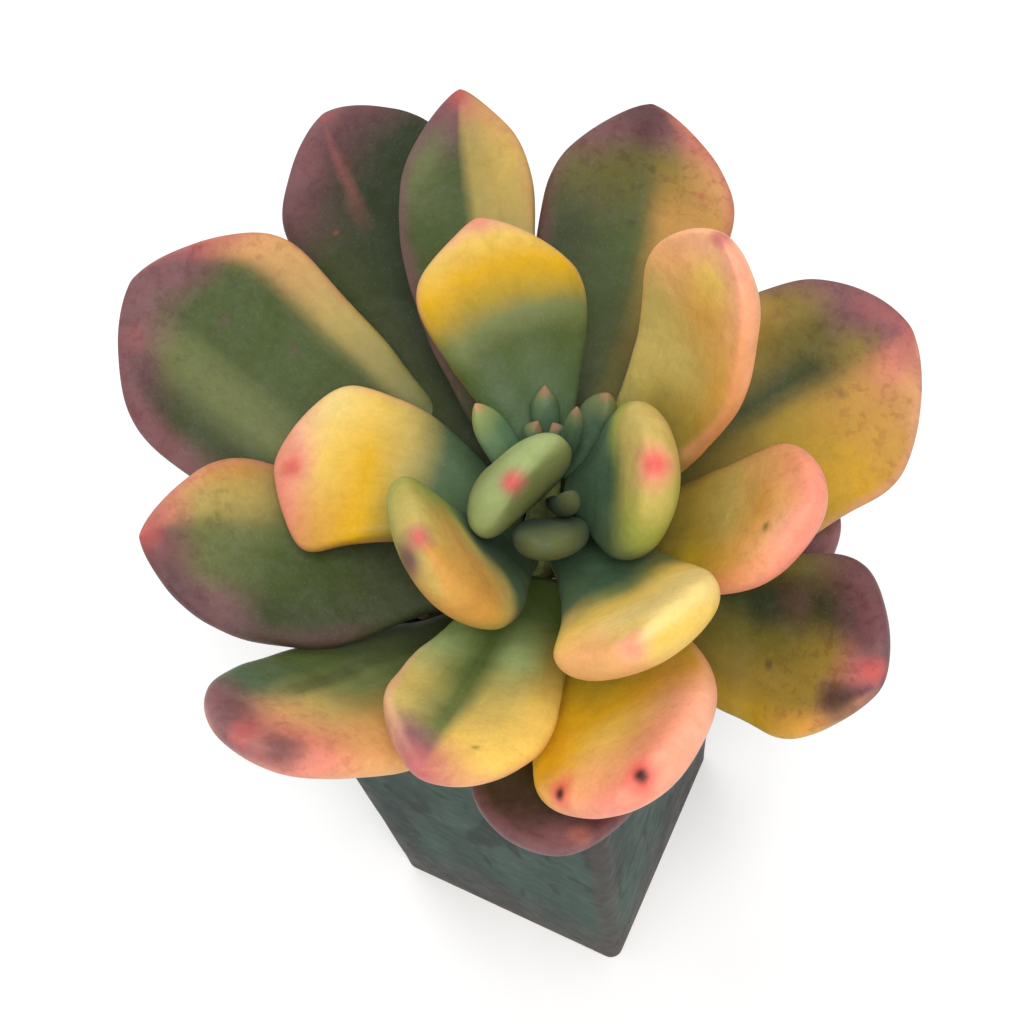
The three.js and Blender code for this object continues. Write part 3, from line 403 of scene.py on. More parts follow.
        "under": [(0.0, [(0.4, "honey"), (0.85, "salmon"), (1, "salmon")])],
        "marks": [("margin", "salmon", 0.5, 2.0, 0, 0.55, 1.0), ("spot", "bark", 0.9, 0.86, 0.39, 0.7), ("spot", "bronze", 0.5, 0.86, 0.39, 1.3)],
        "skin": (0.015, 0.03, 0.44),
    },
    "leaf_mid_front": {
        "shade": 0.9,
        "lanes": [(-0.8, [(0.3, "jade"), (0.5, "fern"), (0.62, "butter"), (0.75, "cream"), (1, "cream")]),
                  (0.0, [(0.3, "jade"), (0.5, "jade"), (0.6, "fern"), (0.7, "butter"), (0.85, "cream"), (1, "butter")]),
                  (0.8, [(0.3, "jade"), (0.5, "sage"), (0.62, "straw"), (0.75, "butter"), (0.88, "apricot"), (1, "apricot")])],
        "under": [(-0.6, [(0.4, "lime"), (0.7, "butter"), (1, "butter")]), (0.6, [(0.4, "lime"), (0.7, "honey"), (1, "apricot")])],
        "marks": [("spot", "peach", 0.7, 1.0, 0.04, 3.4, -1), ("spot", "salmon", 0.5, 1.0, 0.04, 2.2, -1)],
        "skin": (0.015, 0.01, 0.42),
    },
    "leaf_inner_left": {
        "shade": 0.85,
        "lanes": [(-0.75, [(0.3, "sage"), (0.5, "sage"), (0.58, "straw"), (0.72, "honey"), (1, "honey")]),
                  (0.0, [(0.3, "jade"), (0.6, "jade"), (0.68, "straw"), (0.8, "honey"), (1, "straw")]),
                  (0.75, [(0.3, "jade"), (0.5, "sage"), (0.62, "lime"), (0.8, "lime"), (1, "straw")])],
        "under": [(-0.6, [(0.5, "lime"), (0.85, "honey"), (1, "straw")]), (0.6, [(0.5, "lime"), (0.85, "lime"), (1, "straw")])],
        "marks": [("spot", "wine", 0.9, 0.96, -0.21, 3.4, -1), ("spot", "wine", 0.5, 0.9, -0.1, 2.8, -1), ("spot", "rose", 0.8, 1.0, -0.59, 2.6, -1), ("spot", "coral", 0.5, 1.0, -0.59, 1.4, -1)],
        "skin": (0.03, 0.02, 0.46),
    },
    "leaf_inner_right": {
        "shade": 0.9,
        "lanes": [(-0.75, [(0.3, "jade"), (0.48, "sage"), (0.6, "lime"), (0.75, "straw"), (1, "straw")]),
                  (0.0, [(0.3, "jade"), (0.54, "jade"), (0.66, "fern"), (0.8, "straw"), (1, "straw")]),
                  (0.75, [(0.3, "jade"), (0.52, "sage"), (0.66, "fern"), (0.8, "lime"), (1, "straw")])],
        "under": [(-0.6, [(0.5, "lime"), (0.85, "straw"), (1, "straw")]), (0.6, [(0.5, "fern"), (0.85, "lime"), (1, "straw")])],
        "marks": [("spot", "salmon", 0.8, 1.0, 0.0, 4.4), ("spot", "coral", 0.9, 1.0, 0.0, 2.4)],
        "skin": (0.03, 0.015, 0.46),
    },
    "leaf_heart_front": {
        "shade": 0.8,
        "lanes": [(-0.5, [(0.3, "sage"), (0.6, "celery"), (1, "celery")]), (0.6, [(0.3, "sage"), (0.6, "fern"), (0.85, "celery"), (1, "celery")])],
        "under": [(0.0, [(0.2, "jade"), (0.7, "fern"), (1, "fern")])],
        "marks": [("spot", "rose", 0.8, 0.99, -0.02, 2.8), ("spot", "coral", 0.8, 0.99, -0.02, 1.7)],
        "skin": (0.04, 0.01, 0.46),
    },
}
# the small heart leaves share one palette; their shade factors are painted shade and light for where each sits in the
# centre of the rosette
for _n, _shade in (("low", 0.5), ("bud", 0.45), ("right", 0.75), ("left", 1.3), ("back", 0.75), ("tip_a", 0.8), ("tip_b", 0.8), ("tip_c", 0.8)):
    PAINT["leaf_heart_" + _n] = {
        "shade": _shade,
        "lanes": [(-0.3, [(0.2, "jade"), (0.7, "sage"), (1, "fern")]), (0.5, [(0.2, "jade"), (0.75, "jade"), (1, "fern")])],
        "marks": [("tip", "sage" if _n in ("low", "bud") else "rose", 0.45, 1.3)],
        "skin": (0.04, 0.0, 0.46),
    }


def skin_point(p, sc, tc, side):
    """The point of the skin at one place along and across, on the upper or lower face."""
    sa = np.array([sc])
    C, _, sd, up = leaf_frame(p, sa)
    a, h = leaf_profile(p, sa)
    k = (1 - min(1.0, abs(tc)) ** 2.5) ** 0.4
    y = (p[22] * k if side >= 0 else -(1 - p[22]) * k) * h[0] + p[15] * a[0] * tc ** 2 - (p[22] - 0.34) * h[0]
    across = a[0] * side_gain(p, sa, np.array([tc]))[0, 0] * tc
    return C[0] + sd[0] * across + up[0] * y


def paint(name, p, verts, s, t, k, a, L, seed):
    spec = PAINT[name]
    x, y, z = verts[:, 0], verts[:, 1], verts[:, 2]
    # irregular tissue: colours wander along the leaf and slightly across it
    ws = s + 0.014 * wave(x, y, z, 0.55, seed + 1) + 0.006 * wave(x, y, z, 1.7, seed + 5)
    wt = t + 0.05 * wave(s * 9, t * 7, k, 1.0, seed + 2) + 0.022 * wave(s * 22, t * 30, k, 1.0, seed + 7)
    over = tissue(spec["lanes"], ws, wt)
    under = tissue(spec.get("under", spec["lanes"]), ws, wt)
    w = sstep(-0.6, 0.3, k)[:, None]
    # the whole leaf, upper face and underside, is scaled by its shade factor: painted shade and light
    col = (under * (1 - w) + over * w) * spec["shade"]
    for m in spec.get("marks", ()):
        kind, hue, amount = m[0], m[1], m[2]
        # the marks take the same painted shade and light
        c = lin(HUES[hue])[None] * spec["shade"]
        if kind == "stripe":        # centre, half width, from, to
            tc, hw, s0, s1 = m[3:7]
            edge = hw * (1 + 0.35 * wave(s * 30, t * 3, k, 1.0, seed + 11))
            w = (1 - sstep(edge * 0.55, edge * 1.25, np.abs(wt - tc))) * sstep(s0 - 0.08, s0 + 0.08, ws) * (1 - sstep(s1 - 0.08, s1 + 0.08, ws))
            w = w * sstep(-0.15, 0.35, k)
        elif kind == "margin":      # width in mm, side (-1, 0, 1), from, to
            wd, sd, s0, s1 = m[3:7]
            dist = np.minimum(a * (1 - np.abs(wt)), (1.02 - ws) * L * 0.9)
            w = 1 - sstep(0.15 * wd, wd, np.maximum(dist, 0) * (1 + 0.3 * wave(x, y, z, 0.8, seed + 13)))
            w = w * sstep(s0 - 0.1, s0 + 0.1, ws) * (1 - sstep(s1, s1 + 0.12, ws))
            if sd:
                w = w * sstep(-0.1, 0.35, wt * sd)
        elif kind == "tip":         # reach in mm
            reach = m[3]
            d = np.sqrt(((1 - s) * L) ** 2 + (a * t) ** 2) * (1 + 0.22 * wave(x, y, z, 0.9, seed + 17))
            w = 1 - sstep(0.1 * reach, reach, d)
        elif kind == "spot":        # along, across, radius in mm, side
            sc, tc, rad = m[3:6]
            hit = skin_point(p, sc, tc, m[6] if len(m) > 6 else 1)
            d = np.linalg.norm(verts - hit[None], axis=1) * (1 + 0.16 * wave(x, y, z, 1.3, seed + 19))
            w = 1 - sstep(0.15 * rad, rad, d)
        elif kind == "under":       # whole underside
            w = sstep(0.05, 0.75, -k)
        col = col * (1 - amount * w[:, None]) + c * (amount * w[:, None])
    return np.clip(col, 0, 1)


def tissue(lanes, s, t):
    """Colours along each lane, with neighbouring lanes melting into each other."""
    col, before = None, None
    for at, stops in lanes:
        pos = [q for q, _ in stops]
        rgb = np.array([lin(HUES[h]) for _, h in stops])
        lane = np.stack([np.interp(s, pos, rgb[:, c]) for c in range(3)], axis=1)
        if col is None:
            col = lane
        else:
            w = sstep(before, at, t)[:, None]
            col = col * (1 - w) + lane * w
        before = at
    return col


# -------------------------------------------------------------- node shorthand
class Nodes:
    def __init__(self, name):
        self.mat = bpy.data.materials.new(name)
        self.mat.use_nodes = True
        self.t = self.mat.node_tree
        self.t.nodes.clear()
        self.out = self.t.nodes.new("ShaderNodeOutputMaterial")
        self.bsdf = self.t.nodes.new("ShaderNodeBsdfPrincipled")
        self.link(self.bsdf.outputs["BSDF"], self.out.inputs["Surface"])

    def link(self, a, b):
        self.t.links.new(a, b)

    def new(self, kind, **props):
        n = self.t.nodes.new(kind)
        for k, v in props.items():
            setattr(n, k, v)
        return n

    def put(self, n, key, v):
        if isinstance(v, bpy.types.NodeSocket):
            self.link(v, n.inputs[key])
        else:
            n.inputs[key].default_value = v

    def attr(self, name):
        return self.new("ShaderNodeAttribute", attribute_name=name, attribute_type="GEOMETRY")

    def coord(self):
        return self.new("ShaderNodeTexCoord").outputs["Object"]

    def mapping(self, vec, scale):
        n = self.new("ShaderNodeMapping")
        self.put(n, "Vector", vec)
        n.inputs["Scale"].default_value = scale
        return n.outputs["Vector"]

    def noise(self, vec, scale, detail=4.0, rough=0.5, dist=0.0):
        n = self.new("ShaderNodeTexNoise")
        self.put(n, "Vector", vec)
        n.inputs["Scale"].default_value = scale
        n.inputs["Detail"].default_value = detail
        n.inputs["Roughness"].default_value = rough
        n.inputs["Distortion"].default_value = dist
        return n.outputs["Fac"]

    def voronoi(self, vec, scale, feature="F1"):
        n = self.new("ShaderNodeTexVoronoi", feature=feature)
        self.put(n, "Vector", vec)
        n.inputs["Scale"].default_value = scale
        return n

    def ramp(self, fac, lo, hi, a=0.0, b=1.0, smooth=True):
        n = self.new("ShaderNodeMapRange", interpolation_type="SMOOTHSTEP" if smooth else "LINEAR")
        self.put(n, "Value", fac)
        for key, v in (("From Min", lo), ("From Max", hi), ("To Min", a), ("To Max", b)):
            n.inputs[key].default_value = v
        return n.outputs["Result"]

    def math(self, op, a, b=0.0, c=0.0):
        n = self.new("ShaderNodeMath", operation=op)
        for i, v in enumerate((a, b, c)):
            if isinstance(v, bpy.types.NodeSocket):
                self.link(v, n.inputs[i])
            else:
                n.inputs[i].default_value = v
        return n.outputs[0]

    def mix(self, fac, a, b, blend="MIX"):
        n = self.new("ShaderNodeMix", data_type="RGBA", blend_type=blend, clamp_factor=True)
        for i, v in ((0, fac), (6, a), (7, b)):
            if isinstance(v, bpy.types.NodeSocket):
                self.link(v, n.inputs[i])
            elif i == 0:
                n.inputs[0].default_value = v
            else:
                n.inputs[i].default_value = (*v[:3], 1.0)
        return n.outputs[2]

    def bump(self, height, strength, distance, under=None):
        n = self.new("ShaderNodeBump")
        n.inputs["Strength"].default_value = strength
        n.inputs["Distance"].default_value = distance
        self.put(n, "Height", height)
        if under is not None:
            self.put(n, "Normal", under)
        return n.outputs["Normal"]

    def sep(self, vec):
        n = self.new("ShaderNodeSeparateXYZ")
        self.put(n, 0, vec)
        return n.outputs


def leaf_material(name, bloom, speckle, gloss, seed):
    n = Nodes("leaf_skin_" + name)
    base = n.attr("paint").outputs["Color"]
    leafc = n.attr("leaf").outputs["Vector"]
    veil = n.attr("veil").outputs["Fac"]
    obj = n.coord()
    # long fibres that run from neck to tip
    fibre = n.noise(n.mapping(leafc, (2.6, 24.0, 1.5)), 1.0, 5.0, 0.6, 0.35)
    col = n.mix(n.math("MULTIPLY", veil, n.ramp(fibre, 0.42, 0.75, 0.0, 0.22)), base, n.mix(1.0, base, (0.72, 0.80, 0.62), "MULTIPLY"))
    col = n.mix(n.math("MULTIPLY", veil, n.ramp(fibre, 0.28, 0.46, 0.20, 0.0)), col, n.mix(1.0, col, (1.16, 1.12, 1.06), "MULTIPLY"))
    # soft mottling of the tissue
    mott = n.noise(obj, 330.0, 5.0, 0.62, 0.6)
    col = n.mix(n.ramp(mott, 0.38, 0.68, 0.0, 0.34), col, n.mix(1.0, col, (0.76, 0.74, 0.68), "MULTIPLY"))
    # pigment breaks up into blots where the tip colours begin
    blot = n.noise(obj, 640.0, 5.0, 0.65, 0.25)
    col = n.mix(n.math("MULTIPLY", n.math("SUBTRACT", 1.0, veil), n.ramp(blot, 0.48, 0.64, 0.0, min(0.55, speckle * 8))), col, n.mix(1.0, col, (0.66, 0.48, 0.52), "MULTIPLY"))
    grain = n.noise(obj, 1900.0, 3.0, 0.6)
    col = n.mix(n.ramp(grain, 0.42, 0.62, 0.0, 0.22), col, n.mix(1.0, col, (1.22, 1.18, 1.10), "MULTIPLY"))
    # powdery bloom, rubbed off in patches
    rub = n.noise(obj, 120.0, 3.0, 0.55, 0.8)
    dust = n.noise(obj, 900.0, 4.0, 0.7)
    amount = n.math("MULTIPLY", n.ramp(rub, 0.32, 0.66, 0.25, 1.0), n.ramp(dust, 0.3, 0.75, 0.45, 1.0))
    col = n.mix(n.math("MULTIPLY", amount, bloom), col, (0.60, 0.66, 0.60))
    # tiny pale pores and a few darker freckles
    pores = n.voronoi(obj, 1500.0).outputs["Distance"]
    col = n.mix(n.ramp(pores, 0.08, 0.20, 0.05, 0.0), col, (0.70, 0.66, 0.52))
    fr = n.voronoi(obj, 210.0)
    keep = n.ramp(n.sep(fr.outputs["Color"])[0], 1.0 - speckle, 1.001 - speckle * 0.8, 0.0, 1.0)
    col = n.mix(n.math("MULTIPLY", n.ramp(fr.outputs["Distance"], 0.05, 0.15, 0.75, 0.0), keep), col, (0.20, 0.055, 0.035))
    n.link(col, n.bsdf.inputs["Base Color"])
    rough = n.math("ADD", n.ramp(rub, 0.3, 0.7, gloss - 0.05, gloss + 0.09), n.ramp(grain, 0.3, 0.7, -0.03, 0.03))
    n.link(rough, n.bsdf.inputs["Roughness"])
    skin = n.bump(n.noise(obj, 420.0, 4.0, 0.55), 0.35, 0.00035)
    skin = n.bump(n.math("MULTIPLY", pores, 1.0), 0.22, 0.00008, skin)
    skin = n.bump(n.math("MULTIPLY", fibre, veil), 0.16, 0.00012, skin)
    n.link(skin, n.bsdf.inputs["Normal"])
    b = n.bsdf.inputs
    b["IOR"].default_value = 1.42
    b["Specular IOR Level"].default_value = 0.20
    b["Subsurface Weight"].default_value = 0.10
    b["Subsurface Radius"].default_value = (1.0, 0.62, 0.22)
    b["Subsurface Scale"].default_value = 0.0022
    b["Sheen Weight"].default_value = 0.02
    b["Sheen Roughness"].default_value = 0.5
    return n.mat


def make_object(name, me, mat, slot, *nodes):
    ob = bpy.data.objects.new(name, me)
    scene.collection.objects.link(ob)
    me.materials.append(mat)
    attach(ob, "root")
    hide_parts(*nodes)
    return ob


SMALL = {"leaf_heart_bud", "leaf_heart_left", "leaf_heart_back", "leaf_heart_tip_a", "leaf_heart_tip_b", "leaf_heart_tip_c", "leaf_heart_right"}
for i, (name, p) in enumerate(LEAVES.items()):
    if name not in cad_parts:
        continue
    seed = 0.37 + 1.913 * i
    me, verts, sv, tv, kv, av, L = leaf_mesh(name, p, seed, name not in SMALL)
    rgb = paint(name, p, verts, sv, tv, kv, av, L, seed)
    ca = me.color_attributes.new("paint", "FLOAT_COLOR", "POINT")
    ca.data.foreach_set("color", np.column_stack([rgb, np.ones(len(rgb))]).ravel().astype(np.float32))
    la = me.attributes.new("leaf", "FLOAT_VECTOR", "POINT")
    la.data.foreach_set("vector", np.column_stack([sv * L / 20.0, tv * 0.6, kv * 0.5]).ravel().astype(np.float32))
    va = me.attributes.new("veil", "FLOAT", "POINT")
    va.data.foreach_set("value", (1 - sstep(0.62, 0.86, sv)).astype(np.float32))
    bloom, speckle, gloss = PAINT[name].get("skin", (0.10, 0.02, 0.46))
    make_object(name + "_skin", me, leaf_material(name, bloom, speckle, gloss, seed), name, name)


# ------------------------------------------------------------------------- pot
def square_ring(width, radius, z, seg, side):
    """Rounded square outline with extra points along the straight sides."""
    h = width / 2 - radius
    ring = []
    corners = [(h, h, 0), (-h, h, 90), (-h, -h, 180), (h, -h, 270)]
    for c, (cx, cy, start) in enumerate(corners):
        for i in range(seg + 1):
            a = math.radians(start + 90 * i / seg)
            ring.append(Vector((cx + radius * math.cos(a), cy + radius * math.sin(a), z)))
        nx, ny, nstart = corners[(c + 1) % 4]
        a = math.radians(nstart)
        nxt = Vector((nx + radius * math.cos(a), ny + radius * math.sin(a), z))
        last = ring[-1].copy()
        for i in range(1, side):
            ring.append(last.lerp(nxt, i / side))
    return ring


def pot_width(z):
    return POT_FOOT + (POT_TOP - POT_FOOT) * z / POT_H


def loft(name, rings, cap_start, cap_end):
    bm = bmesh.new()
    rows = [[bm.verts.new(p) for p in ring] for ring in rings]
    n = len(rows[0])
    for i in range(len(rows) - 1):
        for j in range(n):
            k = (j + 1) % n
            bm.faces.new((rows[i][j], rows[i][k], rows[i + 1][k], rows[i + 1][j]))
    for row, centre, flip in ((rows[0], cap_start, True), (rows[-1], cap_end, False)):
        if centre is None:
            continue
        c = bm.verts.new(centre)
        for j in range(n):
            k = (j + 1) % n
            bm.faces.new((c, row[k], row[j]) if flip else (c, row[j], row[k]))
    bm.normal_update()
    me = bpy.data.meshes.new(name)
    bm.to_mesh(me)
    bm.free()
    me.polygons.foreach_set("use_smooth", [True] * len(me.polygons))
    return me


def build_pot():
    seg, side = 8, 10
    rings = []
    foot = 0.9 * MM
    rc = 2.2 * MM
    hole_r, hole_off = 1.9 * MM, 9.0 * MM
    # outside, from the foot up; a few rings crowd at the foot and the lip
    heights = [0.0, 0.12 * foot, 0.35 * foot, 0.7 * foot, foot * 1.1]
    inset = [1.0, 0.62, 0.30, 0.08, 0.0]
    for hgt, ins in zip(heights, inset):
        rings.append(square_ring(pot_width(hgt) - 2 * foot * ins, rc - foot * ins * 0.7, hgt, seg, side))
    body = np.linspace(foot * 1.1, POT_H - 1.3 * MM, 26)[1:]
    for z in body:
        rings.append(square_ring(pot_width(z), rc, z, seg, side))
    lip = 1.15 * MM
    top = POT_H
    for ang in (20, 45, 70, 90):
        a = math.radians(ang)
        rings.append(square_ring(pot_width(top) - 2 * lip * (1 - math.cos(a)), rc - 0.5 * lip * (1 - math.cos(a)), top - lip * (1 - math.sin(a)), seg, side))
    for ang in (70, 45, 20, 0):
        a = math.radians(ang)
        rings.append(square_ring(pot_width(top) - 2 * POT_WALL + 2 * lip * (1 - math.cos(a)) , 1.9 * MM + 0.4 * lip * (1 - math.cos(a)), top - lip * (1 - math.sin(a)), seg, side))
    z_floor = SOIL_LO[2] - 0.3 * MM
    for z in np.linspace(top - lip, z_floor, 10)[1:]:
        rings.append(square_ring(pot_width(z) - 2 * POT_WALL, 1.7 * MM, z, seg, side))
    # hand-thrown unevenness of the walls, none where the pot stands on the floor
    for ring in rings:
        for v in ring:
            w = min(1.0, max(0.0, (v.z - 1.2 * MM) / (6 * MM))) * min(1.0, max(0.0, (POT_H + 0.2 * MM - v.z) / (3 * MM)))
            d = 0.16 * MM * noise.noise(Vector((v.x * 70, v.y * 70, v.z * 55))) + 0.05 * MM * noise.noise(Vector((v.x * 260, v.y * 260, v.z * 200)))
            out = Vector((v.x, v.y, 0)).normalized()
            v += out * (d * w - 0.08 * MM * w)
    me = loft("pot_clay", rings, None, None)
    bm = bmesh.new()
    bm.from_mesh(me)
    bm.verts.ensure_lookup_table()
    n = len(rings[0])
    under = [bm.verts[i] for i in range(n)]
    inner = [bm.verts[len(rings) * n - n + i] for i in range(n)]

    # underside and inside floor, each with the same four drain holes
    holes = []
    m = 16
    for z, up in ((0.0, False), (z_floor, True)):
        loops = []
        for sx, sy in ((1, 1), (-1, 1), (-1, -1), (1, -1)):
            loops.append([bm.verts.new((sx * hole_off + hole_r * math.cos(2 * math.pi * j / m), sy * hole_off + hole_r * math.sin(2 * math.pi * j / m), z)) for j in range(m)])
        edges = []
        outer = inner if up else under
        for i in range(n):
            e = bm.edges.get((outer[i], outer[(i + 1) % n]))
            edges.append(e or bm.edges.new((outer[i], outer[(i + 1) % n])))
        for lp in loops:
            for j in range(m):
                edges.append(bm.edges.new((lp[j], lp[(j + 1) % m])))
        got = bmesh.ops.triangle_fill(bm, use_beauty=True, use_dissolve=False, edges=edges, normal=(0, 0, 1 if up else -1))
        for f in got["geom"]:
            if isinstance(f, bmesh.types.BMFace) and (f.normal.z > 0) != up:
                f.normal_flip()
        holes.append(loops)
    for lo, hi in zip(holes[0], holes[1]):
        for j in range(m):
            k = (j + 1) % m
            bm.faces.new((lo[k], lo[j], hi[j], hi[k]))
    bmesh.ops.recalc_face_normals(bm, faces=bm.faces[:])
    bm.to_mesh(me)
    bm.free()
    me.polygons.foreach_set("use_smooth", [True] * len(me.polygons))
    me.set_sharp_from_angle(angle=math.radians(50))
    return me


def glaze():
    n = Nodes("pot_glaze")
    obj = n.coord()
    x, y, z = n.sep(obj)[0], n.sep(obj)[1], n.sep(obj)[2]
    big = n.noise(n.mapping(obj, (1, 1, 0.6)), 38.0, 3.0, 0.5, 0.5)
    mid = n.noise(n.mapping(obj, (1, 1, 0.7)), 120.0, 3.0, 0.5, 0.3)
    small = n.noise(obj, 420.0, 4.0, 0.55, 0.2)
    base = n.mix(n.ramp(big, 0.34, 0.66), tuple(lin("#24352f")), tuple(lin("#33493f")))
    base = n.mix(n.ramp(mid, 0.42, 0.68, 0.0, 0.5), base, tuple(lin("#3f554b")))
    # dark strokes and mottles where the glaze pooled and ran
    pool = n.noise(n.mapping(obj, (1, 1, 0.42)), 150.0, 2.0, 0.45, 0.7)
    base = n.mix(n.ramp(pool, 0.55, 0.65, 0.0, 0.85), base, tuple(lin("#16201d")))
    drip = n.noise(n.mapping(obj, (1, 1, 0.10)), 90.0, 2.0, 0.5, 0.4)
    base = n.mix(n.ramp(drip, 0.55, 0.72, 0.0, 0.5), base, tuple(lin("#1c2825")))
    base = n.mix(n.ramp(small, 0.40, 0.70, 0.0, 0.22), base, tuple(lin("#4a5f55")))
    # speckles of iron in the clay
    sp = n.voronoi(obj, 520.0)
    keep = n.ramp(n.sep(sp.outputs["Color"])[0], 0.80, 0.86)
    base = n.mix(n.math("MULTIPLY", n.ramp(sp.outputs["Distance"], 0.08, 0.20, 0.6, 0.0), keep), base, tuple(lin("#211e1b")))
    # greyer and browner lower down
    low = n.ramp(n.math("ADD", z, n.math("MULTIPLY", n.math("SUBTRACT", big, 0.5), 0.030)), 0.004, 0.030, 0.80, 0.0)
    base = n.mix(low, base, n.mix(n.ramp(mid, 0.35, 0.65), tuple(lin("#3e3a39")), tuple(lin("#4e4a48"))))
    # browner along the upright edges and the rim
    ax, ay = n.math("ABSOLUTE", x), n.math("ABSOLUTE", y)
    half = n.math("ADD", n.math("MULTIPLY", z, (POT_TOP - POT_FOOT) / (2 * POT_H)), POT_FOOT / 2)
    dx, dy = n.math("SUBTRACT", half, ax), n.math("SUBTRACT", half, ay)
    corner = n.math("MAXIMUM", dx, dy)          # small only near an upright edge
    edge = n.ramp(n.math("ADD", corner, n.math("MULTIPLY", n.math("SUBTRACT", mid, 0.5), 0.0030)), 0.0014, 0.0044, 1.0, 0.0)
    rimw = n.ramp(n.math("ADD", z, n.math("MULTIPLY", n.math("SUBTRACT", small, 0.5), 0.003)), POT_H - 0.0028, POT_H - 0.0006)
    brown_edges = n.math("MAXIMUM", edge, rimw)
    base = n.mix(n.math("MULTIPLY", brown_edges, 0.65), base, tuple(lin("#4c4341")))
    # bare clay line round the foot
    bare = n.ramp(n.math("ADD", z, n.math("MULTIPLY", n.math("SUBTRACT", small, 0.5), 0.0012)), 0.0004, 0.0011, 1.0, 0.0)
    clay = n.mix(n.ramp(small, 0.3, 0.7), tuple(lin("#6d4a3a")), tuple(lin("#8d6450")))
    base = n.mix(bare, base, clay)
    n.link(base, n.bsdf.inputs["Base Color"])
    rough = n.math("ADD", n.ramp(small, 0.3, 0.7, 0.46, 0.60), n.math("MULTIPLY", bare, 0.3))
    n.link(rough, n.bsdf.inputs["Roughness"])
    nb = n.bump(n.noise(obj, 80.0, 2.0, 0.4), 0.35, 0.0010)
    nb = n.bump(n.noise(obj, 500.0, 3.0, 0.5), 0.16, 0.00012, nb)
    nb = n.bump(n.ramp(sp.outputs["Distance"], 0.06, 0.2, 0.0, 1.0), 0.12, 0.00008, nb)
    n.link(nb, n.bsdf.inputs["Normal"])
    b = n.bsdf.inputs
    b["IOR"].default_value = 1.45
    b["Specular IOR Level"].default_value = 0.08
    return n.mat


make_object("pot_clay", build_pot(), glaze(), "pot", "pot")


# ------------------------------------------------------------------------ soil
def soil_height(x, y):
    """Row-frame height of the growing medium, in metres, the same swell as the CAD block."""
    X, Y = x / MM, y / MM
    return (70 + 0.5 * math.sin(X * 0.34 + 0.8) * math.cos(Y * 0.29 - 0.4) + 0.35 * math.sin(X * 0.61 - Y * 0.47) + 1.1 * math.exp(-(X * X + Y * Y) / 120)) * MM


def build_soil():
    inset = 2 * (POT_WALL + 0.3 * MM)
    lo, seg, side = SOIL_LO[2], 3, 8
    edge_z = 69.2 * MM
    rings = [square_ring(pot_width(z) - inset, 1.3 * MM, z, seg, side) for z in np.linspace(lo, edge_z, 8)]
    flat = square_ring(pot_width(edge_z) - inset, 1.3 * MM, 0, seg, side)
    for kk in np.linspace(0.97, 0.1, 16):
        ring = []
        for v in flat:
            x, y = v.x * kk, v.y * kk
            rough = 0.45 * MM * noise.noise(Vector((x * 420, y * 420, 0.3))) + 0.25 * MM * noise.noise(Vector((x * 1100, y * 1100, 1.3)))
            ring.append(Vector((x, y, soil_height(x, y) - 0.9 * MM + rough)))
        rings.append(ring)
    return loft("soil_bed", rings, Vector((0, 0, lo)), Vector((0, 0, soil_height(0, 0) - 0.9 * MM)))


def soil_material():
    n = Nodes("soil_mix")
    obj = n.coord()
    vor = n.voronoi(obj, 520.0)
    c = n.sep(vor.outputs["Color"])
    base = n.mix(n.ramp(c[0], 0.2, 0.8), tuple(lin("#2f251d")), tuple(lin("#5b4838")))
    base = n.mix(n.ramp(n.noise(obj, 900.0, 5.0, 0.7), 0.35, 0.7, 0.0, 0.5), base, tuple(lin("#1f1813")))
    n.link(base, n.bsdf.inputs["Base Color"])
    n.link(n.ramp(c[1], 0.0, 1.0, 0.82, 0.97), n.bsdf.inputs["Roughness"])
    nb = n.bump(vor.outputs["Distance"], 0.8, 0.0008)
    nb = n.bump(n.noise(obj, 2200.0, 4.0, 0.7), 0.5, 0.0003, nb)
    n.link(nb, n.bsdf.inputs["Normal"])
    return n.mat


def grit_material():
    n = Nodes("grit_mix")
    obj = n.coord()
    tone = n.attr("tone")
    fac = n.sep(tone.outputs["Vector"])
    base = n.mix(fac[0], tuple(lin("#8a7660")), tuple(lin("#b9a88c")))
    base = n.mix(n.ramp(fac[1], 0.52, 0.58), base, tuple(lin("#7a4a35")))
    base = n.mix(n.ramp(fac[2], 0.62, 0.68), base, tuple(lin("#3d3834")))
    base = n.mix(n.ramp(n.noise(obj, 2600.0, 4.0, 0.7), 0.35, 0.7, 0.0, 0.55), base, n.mix(1.0, base, (0.45, 0.42, 0.40), "MULTIPLY"))
    n.link(base, n.bsdf.inputs["Base Color"])
    n.link(n.ramp(n.noise(obj, 1500.0, 3.0, 0.6), 0.3, 0.7, 0.78, 0.96), n.bsdf.inputs["Roughness"])
    n.link(n.bump(n.noise(obj, 3200.0, 4.0, 0.7), 0.6, 0.00025), n.bsdf.inputs["Normal"])
    return n.mat


def hash01(i, j):
    v = math.sin(i * 127.1 + j * 311.7) * 43758.5453
    return v - math.floor(v)


